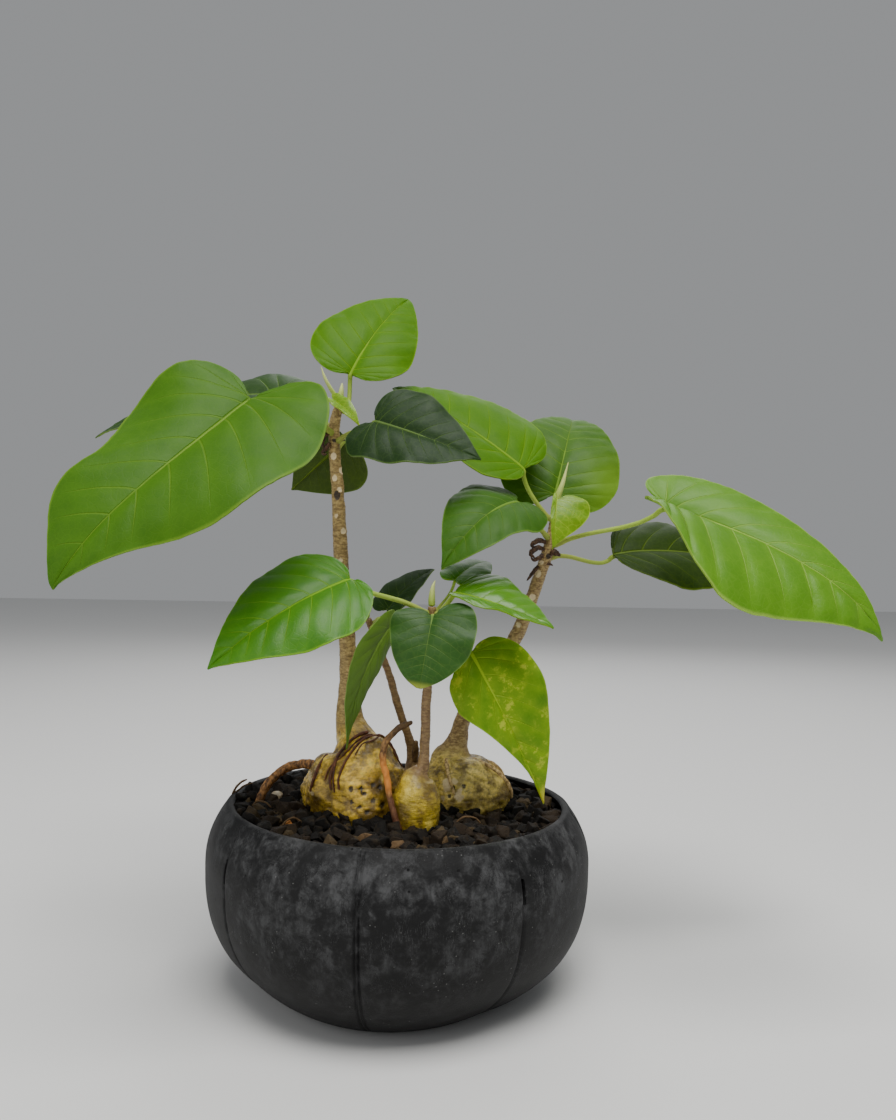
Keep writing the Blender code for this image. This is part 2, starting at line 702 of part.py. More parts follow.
def surface_roots(trunk):
    """Thin roots that run down a swollen base, as (points, radii) in millimetres."""
    if trunk.name == "trunk_left":
        paths = (
            ([(-50, 92), (-84, 91.5), (-116, 89), (-120, 84.5), (-116, 79.5), (-110, 73.5)], 0.7),
            ([(-22, 90.5), (-72, 90), (-102, 87), (-106, 81), (-101, 74)], 0.6),
            ([(-30, 91), (-12, 88.5), (-4, 84)], 0.6),
            ([(-150, 86.5), (-140, 83), (-138, 78.5), (-142, 73)], 0.7),
            ([(60, 88), (75, 80), (85, 70)], 0.9),
        )
    elif trunk.name == "trunk_right":
        paths = (
            ([(-40, 84), (-28, 78), (-20, 72), (-16, 65)], 1.1),
            ([(-12, 84), (-4, 77), (0, 70), (2, 64)], 0.9),
            ([(-110, 84), (-104, 78), (-98, 70)], 0.8),
            ([(120, 84), (130, 76), (140, 68)], 0.9),
        )
    else:
        paths = ()
    for path, radius in paths:
        spots = [on_trunk(trunk, direction, z, 0.15 * radius) for direction, z in path]
        line = smooth_line(spots, 2)
        yield line, [radius * (1 - 0.35 * k / (len(line) - 1)) for k in range(len(line))]


LOOP_ROOT = (
    (-33, -4, 82.5, 1.9), (-39, -1, 81.7, 1.8), (-43, 0, 80.8, 1.8), (-46.5, 0, 79.2, 1.8),
    (-50, -1, 76.3, 1.7), (-53, -2, 72.7, 1.7), (-55, -3, 68, 1.6), (-55.5, -3, 62, 1.5),
)
HOOK_ROOT = (
    (3.5, -29.5, 60, 1.2), (0.8, -31.8, 67, 1.2), (-0.8, -31.3, 72, 1.2), (-2.3, -29.5, 77, 1.2),
    (-3.5, -28.5, 83.5, 1.2), (-5, -28, 89.5, 1.3), (-4.2, -27.5, 95.5, 1.3), (-0.5, -26.5, 100.2, 1.2),
    (2.6, -26, 102, 1.1), (5.7, -25.5, 103.3, 0.7),
)
STUB = ((4.9, 22, 78, 1.6), (5.4, 20.6, 84, 1.4), (5.4, 20.4, 88, 0.9))


def loose_roots(trunk):
    """Thicker roots that leave the base: an arch into the soil at the left, a dead hook and a stub."""
    for owner, points in (("trunk_left", LOOP_ROOT), ("trunk_centre", HOOK_ROOT), ("trunk_back", STUB)):
        if trunk.name == owner:
            line = smooth_line(points, 2)
            yield [point[:3] for point in line], [point[3] for point in line]


def make_trunk(trunk, collection):
    obj = trunk_shape(trunk)
    collection.objects.link(obj)
    bars = [tube(line, radii) for line, radii in (*surface_roots(trunk), *loose_roots(trunk))]
    if bars:
        boolean(obj, "UNION", bars)
    obj.data.materials.clear()
    obj.data.materials.append(material("bark"))
    round_off(obj, 50)
    return obj


def pocket(trunk):
    """What a plant takes up in the soil, one gap larger all round."""
    hole = trunk_shape(trunk, grow=GAP + 0.1, top=SOIL_Z + 16)
    bars = []
    for line, radii in (*surface_roots(trunk), *loose_roots(trunk)):
        line = [np.array(point) for point in line]
        line[0] = line[0] + unit(line[0] - line[1]) * 2 * GAP
        line[-1] = line[-1] + unit(line[-1] - line[-2]) * 2 * GAP
        bars.append(tube(line, [radius + GAP + 0.1 for radius in radii]))
    return [hole, *bars]


# Leaves


def unit(vector):
    return vector / np.linalg.norm(vector)


def read_half_blade(leaf, which, share):
    """Edge place along the midrib, its half width share and its vein's foot, at a share of the way round."""
    x = min(max(share, 0.0), 1.0) * (len(HALF_BLADE) - 1)
    i = min(int(x), len(HALF_BLADE) - 2)
    f = x - i
    rows = [np.array(HALF_BLADE[min(max(k, 0), len(HALF_BLADE) - 1)]) for k in range(i - 1, i + 3)]
    a, b, c, d = rows
    mix = 0.5 * (2 * b + (c - a) * f + (2 * a - 5 * b + 4 * c - d) * f**2 + (3 * b - a - 3 * c + d) * f**3)
    along = leaf.lobe[which] * mix[0] + (1 - leaf.lobe[which]) * mix[1]
    out = max(mix[2], 0.0)
    if along > WIDEST:
        out = out ** leaf.full[which]
    near_base = min(max((0.45 - along) / 0.65, 0.0), 1.0)
    out *= 1 - leaf.narrow[which] * near_base**2 * (3 - 2 * near_base)
    for half, place_round, depth, width in leaf.dents:
        if half == which:
            out *= 1 - depth * math.exp(-(((share - place_round) / width) ** 2))
    return along, out, max(mix[3], 0.0)


def midrib_frame(leaf, u):
    """The midrib's direction, the way to its left and the way up, a share u along it."""
    ahead = max(u, 0.0)
    pitch = -math.radians(leaf.bend * u + leaf.tip_bend * ahead**4)
    yaw = math.radians(leaf.sweep * u)
    along = np.array((math.cos(yaw) * math.cos(pitch), math.sin(yaw) * math.cos(pitch), math.sin(pitch)))
    left = np.array((-math.sin(yaw), math.cos(yaw), 0.0))
    up = np.cross(along, left)
    turn = math.radians(leaf.twist * ahead)
    left = left * math.cos(turn) + up * math.sin(turn)
    return along, left, np.cross(along, left)


def midrib_table(leaf):
    """Points along a midrib of length 1, from below the lobes to the tip, with their frames."""
    step = 1 / MIDRIB_STEPS
    table = {0: (np.zeros(3), midrib_frame(leaf, 0))}
    for sign, count in ((1, MIDRIB_STEPS), (-1, LOBE_STEPS)):
        here = np.zeros(3)
        for k in range(1, count + 1):
            here = here + sign * step * midrib_frame(leaf, sign * (k - 0.5) * step)[0]
            table[sign * k] = (here, midrib_frame(leaf, sign * k * step))
    return table


def read_midrib(table, u):
    x = min(max(u * MIDRIB_STEPS, -LOBE_STEPS), MIDRIB_STEPS - 0.001)
    i = math.floor(x)
    f = x - i
    (start, start_frame), (end, end_frame) = table[i], table[i + 1]
    frame = [unit(a * (1 - f) + b * f) for a, b in zip(start_frame, end_frame)]
    return start * (1 - f) + end * f, frame


def placed_blade(leaf):
    """A function from (side, share round the edge, share out from the midrib, height above) to a point."""
    table = midrib_table(leaf)
    base, tip = np.array(leaf.base, float), np.array(leaf.tip, float)
    chord = table[MIDRIB_STEPS][0]
    length = np.linalg.norm(tip - base) / np.linalg.norm(chord)
    own_x = unit(chord)
    own_z = read_midrib(table, 0.35)[1][2]
    own_z = unit(own_z - own_x * (own_z @ own_x))
    world_x = unit(tip - base)
    world_z = unit(np.array(leaf.faces, float) - world_x * (world_x @ np.array(leaf.faces, float)))
    turn = np.column_stack((world_x, np.cross(world_z, world_x), world_z))
    turn = turn @ np.column_stack((own_x, np.cross(own_z, own_x), own_z)).T

    def at(side, share, out, above=0.0):
        which = 0 if side > 0 else 1
        along, wide, foot = read_half_blade(leaf, which, share)
        u = foot + (along - foot) * out
        half = leaf.half[which]
        reach = wide * half * out
        here, (_, left, up) = read_midrib(table, u)
        blend = min(max(u / 0.7, 0.0), 1.0)
        fold = math.radians(leaf.fold[0] + (leaf.fold[1] - leaf.fold[0]) * blend)
        turn_rate = math.radians(leaf.curl) / half
        slope = fold - turn_rate * reach
        y = (math.sin(fold) - math.sin(slope)) / turn_rate
        z = (math.cos(slope) - math.cos(fold)) / turn_rate
        cycle = leaf.waves * u + leaf.phase + (0.35 if side > 0 else 0)
        z += leaf.wave * (reach / half) ** 2 * math.sin(math.tau * cycle)
        rise = above / max(math.cos(slope), STEEPEST)
        return base + turn @ (length * (here + side * y * left + z * up) + rise * up)

    def rib(u, below):
        here, (along, _, up) = read_midrib(table, u)
        return base + turn @ (length * here - below * up), turn @ along, turn @ up

    return at, rib, length


def blade_mesh(leaf):
    """The blade: a grid folded on the midrib and laid on the leaf, cut into triangles and made thick."""
    at, _, _ = placed_blade(leaf)
    rows = SMALL_ROWS if leaf.small else BLADE_ROWS
    columns = SMALL_COLUMNS if leaf.small else BLADE_COLUMNS
    bm = bmesh.new()
    bmesh.ops.create_grid(bm, x_segments=2 * columns, y_segments=rows - 1, size=1)
    flat = bm.verts.layers.float_vector.new("flat")

    def lay(vert, above):
        across, ahead, _ = vert[flat]
        share = (1 + (rows - 1) * (ahead + 1) / 2) / rows
        vert.co = Vector(at(1 if across > 0 else -1, share, abs(across), above)) * MM

    for vert in bm.verts:
        vert[flat] = vert.co
        lay(vert, -BLADE / 2)
    bmesh.ops.remove_doubles(bm, verts=bm.verts, dist=0.00005)
    bmesh.ops.triangulate(bm, faces=bm.faces)
    upper = bmesh.ops.extrude_face_region(bm, geom=bm.faces[:], use_keep_orig=True)["geom"]
    for vert in upper:
        if isinstance(vert, bmesh.types.BMVert):
            lay(vert, BLADE / 2)
    bmesh.ops.recalc_face_normals(bm, faces=bm.faces)
    mesh = bpy.data.meshes.new(leaf.name)
    bm.to_mesh(mesh)
    bm.free()
    return mesh


def stalk_line(leaf, trunk):
    """The stalk's centre line and radii, from the stem round under the blade and along its midrib."""
    _, rib, length = placed_blade(leaf)
    centre = np.array(axis_at(trunk, leaf.node_z))
    base = np.array(leaf.base, float)
    along = unit(np.array(axis_at(trunk, leaf.node_z + 3)) - np.array(axis_at(trunk, leaf.node_z - 3)))[:3]
    out = (base - centre[:3]) * (1, 1, 0)
    out = unit(out - along * (out @ along))
    start = centre[:3] + out * (centre[3] + GAP + 0.25)
    joint, along, up = rib(0.0, BLADE / 2)
    span = np.linalg.norm(joint - start)
    lead_out = start + (out * 0.8 + np.array((0, 0, 0.6))) * span * leaf.reach[0]
    lead_in = joint - unit(along * 0.5 + up * 0.9) * span * leaf.reach[1]
    points = [start, start + out * 1.2]
    for t in (0.3, 0.55, 0.75, 0.9):
        points.append(
            (1 - t) ** 3 * points[1] + 3 * (1 - t) ** 2 * t * lead_out + 3 * (1 - t) * t**2 * lead_in + t**3 * joint
        )
    radii = [STALK_FOOT, STALK_FOOT * 0.9, *[STALK_RADIUS] * 4]
    for u in (0.02, 0.15, RIB_END):
        radius = STALK_RADIUS * 0.9 + (RIB_TIP_RADIUS - STALK_RADIUS * 0.9) * u / RIB_END
        points.append(rib(u, BLADE / 2 + 0.2 * radius)[0])
        radii.append(radius)
    scale = 0.7 if leaf.small else 1.0
    return points, [radius * scale for radius in radii]


def make_leaf(leaf, trunks, collection):
    obj = place(leaf.name, blade_mesh(leaf), collection)
    points, radii = stalk_line(leaf, trunks[leaf.trunk])
    boolean(obj, "UNION", [tube(points, radii)])
    obj.data.materials.clear()
    obj.data.materials.append(material(leaf.colour))
    round_off(obj, 50)
    return obj


# Buds: each growing tip has a pointed bud in its pale sheaths.
BUDS = {
    "bud_left": (
        ((-27, 4.5, 227.5, 1.5), (-26.6, 4.2, 231, 1.2), (-26.2, 4, 235, 0.3)),
        ((-28, 4.5, 228.4, 1.0), (-30.5, 3.5, 232, 1.0), (-33, 2, 236.5, 0.7), (-34.5, 1, 241, 0.25)),
    ),
    "bud_right": (
        ((61.4, 8, 187.6, 1.4), (62.5, 8, 191, 1.5), (64.5, 8, 197, 0.9), (66.5, 8, 205, 0.25)),
    ),
    "bud_centre": (
        ((12.1, -25, 146.5, 1.35), (12, -25, 149, 1.5), (12.3, -25, 153, 0.9), (13.2, -25, 156, 0.25)),
    ),
    "bud_back": (((-15.1, 15, 139.5, 1.1), (-15.6, 15, 142, 0.9), (-16, 15, 144.5, 0.25)),),
}


def make_bud(name, spikes, collection):
    bars = []
    for points in spikes:
        line = smooth_line(points, 2)
        bars.append(tube([point[:3] for point in line], [point[3] for point in line]))
    obj = bars[0]
    obj.name = name
    collection.objects.link(obj)
    if bars[1:]:
        boolean(obj, "UNION", bars[1:])
    obj.data.materials.append(material("bud"))
    round_off(obj, 50)
    return obj


def main():
    clear_scene()
    plant = new_collection(PLANT)
    cutters = new_collection("cutters")
    trunks = {trunk.name: trunk for trunk in TRUNKS}
    pockets = [part for trunk in TRUNKS for part in pocket(trunk)]
    make_soil(plant, [*pockets, stone(GAP + 0.1)])
    pale = stone()
    pale.name = "pale_stone"
    plant.objects.link(pale)
    pale.data.materials.append(material("stone"))
    for trunk in TRUNKS:
        make_trunk(trunk, plant)
    for leaf in LEAVES:
        make_leaf(leaf, trunks, plant)
    for name, spikes in BUDS.items():
        make_bud(name, spikes, plant)
    make_pot(plant, cutters)


main()
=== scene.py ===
"""The dressed potted rock fig: veined leaves, wrinkled swollen bases, loose grit and a scuffed black pot.

Sizes are in millimetres here and become metres where a mesh is made. +Z is up, and the side of the pot
that is seen first looks along -Y.
"""

import math
import random
from types import SimpleNamespace

import bmesh
import bpy
import numpy as np
from mathutils import Matrix, Vector, noise


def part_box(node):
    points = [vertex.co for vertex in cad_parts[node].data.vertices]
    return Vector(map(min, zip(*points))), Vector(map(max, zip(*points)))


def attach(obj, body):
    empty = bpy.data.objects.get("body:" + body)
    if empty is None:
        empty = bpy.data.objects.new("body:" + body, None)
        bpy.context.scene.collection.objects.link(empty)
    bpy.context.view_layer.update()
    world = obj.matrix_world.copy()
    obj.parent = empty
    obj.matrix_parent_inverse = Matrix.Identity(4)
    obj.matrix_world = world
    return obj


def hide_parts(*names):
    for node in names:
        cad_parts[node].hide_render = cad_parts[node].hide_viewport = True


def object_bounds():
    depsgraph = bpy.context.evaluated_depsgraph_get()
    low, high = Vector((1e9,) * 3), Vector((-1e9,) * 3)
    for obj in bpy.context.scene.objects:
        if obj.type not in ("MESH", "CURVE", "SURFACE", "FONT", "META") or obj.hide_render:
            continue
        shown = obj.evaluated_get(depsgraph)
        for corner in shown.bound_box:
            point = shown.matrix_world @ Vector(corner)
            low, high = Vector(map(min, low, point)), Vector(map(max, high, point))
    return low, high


MM = 0.001

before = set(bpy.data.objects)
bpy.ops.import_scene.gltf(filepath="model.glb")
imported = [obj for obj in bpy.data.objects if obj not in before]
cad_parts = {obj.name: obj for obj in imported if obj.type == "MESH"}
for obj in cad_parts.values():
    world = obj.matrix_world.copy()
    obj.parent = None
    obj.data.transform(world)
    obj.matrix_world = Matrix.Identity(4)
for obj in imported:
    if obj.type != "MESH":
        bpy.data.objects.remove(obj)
cad_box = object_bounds()


# Meshes


def unit(vectors):
    vectors = np.asarray(vectors, float)
    return vectors / np.maximum(np.linalg.norm(vectors, axis=-1, keepdims=True), 1e-12)


def ease(value, low, high):
    """0 below low, 1 above high and smooth between them."""
    value = np.clip((np.asarray(value, float) - low) / (high - low), 0, 1)
    return value * value * (3 - 2 * value)


def along_curve(rows, x, held=False):
    """Rows of numbers read at x steps from the first, on a smooth curve through them all."""
    rows = np.array(rows, float)
    first, last = (rows[0], rows[-1]) if held else (2 * rows[0] - rows[1], 2 * rows[-1] - rows[-2])
    rows = np.vstack((first, rows, last))
    x = np.clip(np.asarray(x, float), 0, len(rows) - 3)
    i = np.minimum(x.astype(int), len(rows) - 4)
    f = (x - i)[:, None]
    a, b, c, d = (rows[i + k] for k in range(4))
    return 0.5 * (2 * b + (c - a) * f + (2 * a - 5 * b + 4 * c - d) * f**2 + (3 * b - a - 3 * c + d) * f**3)


def resampled(rows, count):
    """The same smooth curve, read at this many even steps."""
    return along_curve(rows, np.linspace(0, len(rows) - 1, count))


def bumps(points, size, seed=0.0):
    """Smooth noise from -1 to 1 at each point, with features of about this size in millimetres."""
    shift = Vector((seed * 7.3, seed * 3.1, seed * 5.7))
    return np.array([noise.noise(Vector(point) / size + shift) for point in points])


def grid(columns, rows, rule, floats=(), maps=(), merge=0.02):
    """A bmesh grid laid in space. rule takes x and y from 0 to 1 and gives the corners and named values.

    floats are kept as point attributes and maps as UV maps."""
    bm = bmesh.new()
    bmesh.ops.create_grid(bm, x_segments=columns, y_segments=rows, size=0.5)
    flat = np.array([vert.co[:2] for vert in bm.verts]) + 0.5
    places, values = rule(flat[:, 0], flat[:, 1])
    layers = [(bm.verts.layers.float.new(key), values[key]) for key in floats]
    for i, (vert, place) in enumerate(zip(bm.verts, places)):
        vert.co = place * MM
        vert.index = i
        for layer, numbers in layers:
            vert[layer] = numbers[i]
    for key in maps:
        layer = bm.loops.layers.uv.new(key)
        for face in bm.faces:
            for loop in face.loops:
                loop[layer].uv = values[key][loop.vert.index]
    bmesh.ops.remove_doubles(bm, verts=bm.verts, dist=merge * MM)
    return bm


def in_scene(name, mesh, materials):
    obj = bpy.data.objects.new(name, mesh)
    for material in materials:
        mesh.materials.append(material)
    bpy.context.scene.collection.objects.link(obj)
    return obj


def to_mesh(bm, name):
    mesh = bpy.data.meshes.new(name)
    bm.to_mesh(mesh)
    bm.free()
    return mesh


def finish_mesh(bm, name, materials=(), smooth=True, turn_out=True):
    """The object made of this bmesh, in the scene."""
    if turn_out:
        bmesh.ops.recalc_face_normals(bm, faces=bm.faces)
    mesh = to_mesh(bm, name)
    mesh.polygons.foreach_set("use_smooth", [smooth] * len(mesh.polygons))
    return in_scene(name, mesh, materials)


def applied(obj):
    """Makes an object's modifiers part of its mesh."""
    mesh = bpy.data.meshes.new_from_object(obj.evaluated_get(bpy.context.evaluated_depsgraph_get()))
    obj.modifiers.clear()
    old, obj.data = obj.data, mesh
    mesh.name = obj.name
    bpy.data.meshes.remove(old)
    return obj


def joined(name, objects):
    """One piece made of several, which are removed. They keep their materials and their shading."""
    bm = bmesh.new()
    materials = []
    for obj in objects:
        own = [slot.material for slot in obj.material_slots]
        for material in own:
            if material not in materials:
                materials.append(material)
        start = len(bm.faces)
        bm.from_mesh(obj.data)
        bm.faces.ensure_lookup_table()
        for face in bm.faces[start:]:
            face.material_index = materials.index(own[face.material_index])
        bpy.data.objects.remove(obj)
    return in_scene(name, to_mesh(bm, name), materials)


def around(radius, angle, z):
    """Points at a distance and in a direction from the pot's middle line, at a height."""
    return np.stack((radius * np.cos(angle), radius * np.sin(angle), z), -1)


def line_frames(line):
    """Two across directions at each point of a line, with no twist along it."""
    along = unit(np.gradient(line, axis=0))
    across = np.empty_like(along)
    start = np.array((0.0, 1.0, 0.0)) if abs(along[0][1]) < 0.9 else np.array((1.0, 0.0, 0.0))
    for i, way in enumerate(along):
        start = unit(start - way * (start @ way))
        across[i] = start
    return across, np.cross(along, across)


def sleeve(name, points, material, step, sides, lumps, lump_size=3.0, floats=(), tone=0.0, flat=1.0):
    """A closed round bar along (x, y, z, radius) points. lumps roughens it, flat squashes it.

    step is the distance between its rings. floats may name length, which runs from 0 to 1, and tone."""
    points = np.array(points, float)
    reach = np.linalg.norm(np.diff(points[:, :3], axis=0), axis=1).sum()
    rings = max(6, int(reach / step))
    line = resampled(points, rings + 1)
    radii = np.maximum(line[:, 3], 0.05)
    ends = np.minimum(np.arange(rings + 1), np.arange(rings + 1)[::-1])
    radii = radii * np.where(ends == 0, 0.0, np.where(ends == 1, 0.8, 1.0))
    across, over = line_frames(line[:, :3])

    def rule(x, y):
        i = np.rint(y * rings).astype(int)
        angle = x * math.tau
        out = across[i] * np.cos(angle)[:, None] + flat * over[i] * np.sin(angle)[:, None]
        places = line[i, :3] + out * radii[i, None]
        places = places + out * (lumps * radii[i] * bumps(places, lump_size, 4))[:, None]
        return places, {"length": y, "tone": np.full(len(y), tone)}

    return finish_mesh(grid(sides, rings, rule, floats, merge=0.005), name, [material])


# Materials


class Value:
    """A node's output, which adds, subtracts and multiplies like a number."""

    def __init__(self, graph, socket):
        self.graph, self.socket = graph, socket

    def __add__(self, other):
        return self.graph.math("ADD", self, other)

    def __sub__(self, other):
        return self.graph.math("SUBTRACT", self, other)

    def __rsub__(self, other):
        return self.graph.math("SUBTRACT", other, self)

    def __mul__(self, other):
        return self.graph.math("MULTIPLY", self, other)

    def __abs__(self):
        return self.graph.math("ABSOLUTE", self)

    __radd__ = __add__


class Graph:
    """A short way to write a node tree: each method adds a node and gives its output."""

    def __init__(self, tree):
        self.tree, self.nodes = tree, tree.nodes

    def link(self, source, target):
        if isinstance(source, Value):
            self.tree.links.new(source.socket, target)
        elif target.type == "RGBA":
            target.default_value = (*source, 1)
        else:
            target.default_value = source

    def add(self, kind, inputs, out=0, **settings):
        """A new node with these settings, and its inputs by their names or places."""
        node = self.nodes.new("ShaderNode" + kind)
        for key, value in settings.items():
            setattr(node, key, value)
        for key, value in inputs.items():
            self.link(value, node.inputs[key])
        return Value(self, node.outputs[out])

    def math(self, operation, *values, clamp=False):
        return self.add("Math", dict(enumerate(values)), operation=operation, use_clamp=clamp)

    def mix(self, share, first, second):
        """A colour between two. A mix node has its colours at 6 and 7, and gives the new one at 2."""
        return self.add("Mix", {0: share, 6: first, 7: second}, 2, data_type="RGBA")

    def step(self, value, low, high, start=0.0, end=1.0):
        """A smooth step from start, at low, to end, at high."""
        inputs = dict(enumerate((value, low, high, start, end)))
        return self.add("MapRange", inputs, interpolation_type="SMOOTHSTEP")

    def between(self, share, first, second):
        return self.math("MULTIPLY_ADD", share, second - first, first)

    def layered(self, colour, *layers):
        """A colour under tints: (value, where it starts, where it is full, how much then, tint)."""
        for value, low, high, most, tint in layers:
            colour = self.mix(self.step(value, low, high, 0, most), colour, tint)
        return colour

    def noise(self, place, size, detail=3.0, rough=0.55, warp=0.0):
        """Noise from 0 to 1 with features of this size in millimetres."""
        scale = 1 / (size * MM)
        inputs = {"Vector": place, "Scale": scale, "Detail": detail, "Roughness": rough, "Distortion": warp}
        return self.add("TexNoise", inputs, "Fac")

    def cells(self, place, size, feature="F1"):
        inputs = {"Vector": place, "Scale": 1 / (size * MM)}
        return self.add("TexVoronoi", inputs, "Distance", feature=feature)

    def place(self, scale=(1, 1, 1), turn=(0, 0, 0)):
        """Object coordinates, stretched for a pattern that runs one way."""
        source = self.add("TexCoord", {}, "Object")
        return self.add("Mapping", {"Scale": scale, "Rotation": turn, "Vector": source})

    def spread(self, name):
        return self.add("UVMap", {}, uv_map=name)

    def attribute(self, name):
        return self.add("Attribute", {}, "Fac", attribute_name=name)

    def parts(self, vector):
        return [self.add("SeparateXYZ", {0: vector}, k) for k in range(3)]

    def group(self, tree, **inputs):
        """The outputs of a copy of a shader group."""
        node = self.nodes.new("ShaderNodeGroup")
        node.node_tree = tree
        for key, value in inputs.items():
            self.link(value, node.inputs[key])
        return [Value(self, out) for out in node.outputs]


def shader_group(name, colours, numbers, rule):
    """A shader group: rule(graph, its inputs) gives its colour, roughness and height."""
    tree = bpy.data.node_groups.new(name, "ShaderNodeTree")
    rows = [("INPUT", key, "Color") for key in colours] + [("INPUT", key, "Float") for key in numbers]
    rows += [("OUTPUT", "color", "Color"), ("OUTPUT", "roughness", "Float"), ("OUTPUT", "height", "Float")]
    for way, key, kind in rows:
        tree.interface.new_socket(key, in_out=way, socket_type="NodeSocket" + kind)
    g = Graph(tree)
    given = g.nodes.new("NodeGroupInput").outputs
    made = rule(g, **{key: Value(g, given[key]) for key in (*colours, *numbers)})
    for value, target in zip(made, g.nodes.new("NodeGroupOutput").inputs):
        g.link(value, target)
    return tree


def finish(name, rule, specular=0.5, coat=0.0):
    """A material: rule(graph) gives its colour, roughness and height, and how deep the height is in mm."""
    material = bpy.data.materials.new(name)
    material.use_nodes = True
    g = Graph(material.node_tree)
    shader = material.node_tree.nodes["Principled BSDF"]
    colour, roughness, height, depth = rule(g)
    normal = g.add("Bump", {"Distance": depth * MM, "Height": height})
    for key, value in (
        ("Base Color", colour), ("Roughness", roughness), ("Normal", normal),
        ("Specular IOR Level", specular), ("Coat Weight", coat), ("Coat Roughness", 0.35),
    ):
        g.link(value, shader.inputs[key])
    return material


# Leaves

BLADE = 0.62
MIDRIB_STEPS = 60
LOBE_STEPS = 26
WIDEST = 0.26
STEEPEST = 0.65
DENT_WIDTH = 0.07
FULL_LEAF = 45
VEIN_ARCH = 1.22

# One half of a heart-shaped blade, from the notch at the stalk round to the drip tip: the edge point's place
# along the midrib, the same with no basal lobes, how far out it is and where its side vein starts.
HALF_BLADE = (
    (0, 0, 0, 0),
    (-0.08, 0, 0.12, 0),
    (-0.18, 0.005, 0.29, 0),
    (-0.21, 0.03, 0.53, 0),
    (-0.12, 0.09, 0.79, 0),
    (0.06, 0.17, 0.96, 0),
    (0.26, 0.29, 1, 0.05),
    (0.45, 0.45, 0.88, 0.19),
    (0.62, 0.62, 0.66, 0.38),
    (0.77, 0.77, 0.39, 0.6),
    (0.88, 0.88, 0.18, 0.79),
    (0.95, 0.95, 0.06, 0.92),
    (1, 1, 0, 1),
)
# Where the side veins meet the edge, as shares of the way round from the notch to the tip.
VEIN_ENDS = (0, 0.21, 0.32, 0.41, 0.49, 0.56, 0.625, 0.685, 0.74, 0.79, 0.85, 1)


def leaf(
    name, node_z, base, tip, faces, look, half=(0.36, 0.36), lobe=(0.6, 0.6), full=(0.8, 0.8), narrow=(0, 0),
    dents=(), bend=40, tip_bend=0, fold=(14, 6), curl=35, twist=0, sweep=0, wave=0.02, waves=2.5, phase=0,
    small=False, reach=(0.35, 0.35), quilt=(0.35, 0.35),
):
    """A blade from its base to its tip in space, on a stalk that leaves its stem at the height node_z.

    Pairs of shares are for its left and its right half. dents are notches of its edge, or bulges where
    their depth is below 0: (half, middle, depth). bend, fold, curl, twist and sweep are in degrees."""
    trunk = "trunk_" + name.split("_")[1]
    return SimpleNamespace(**locals())


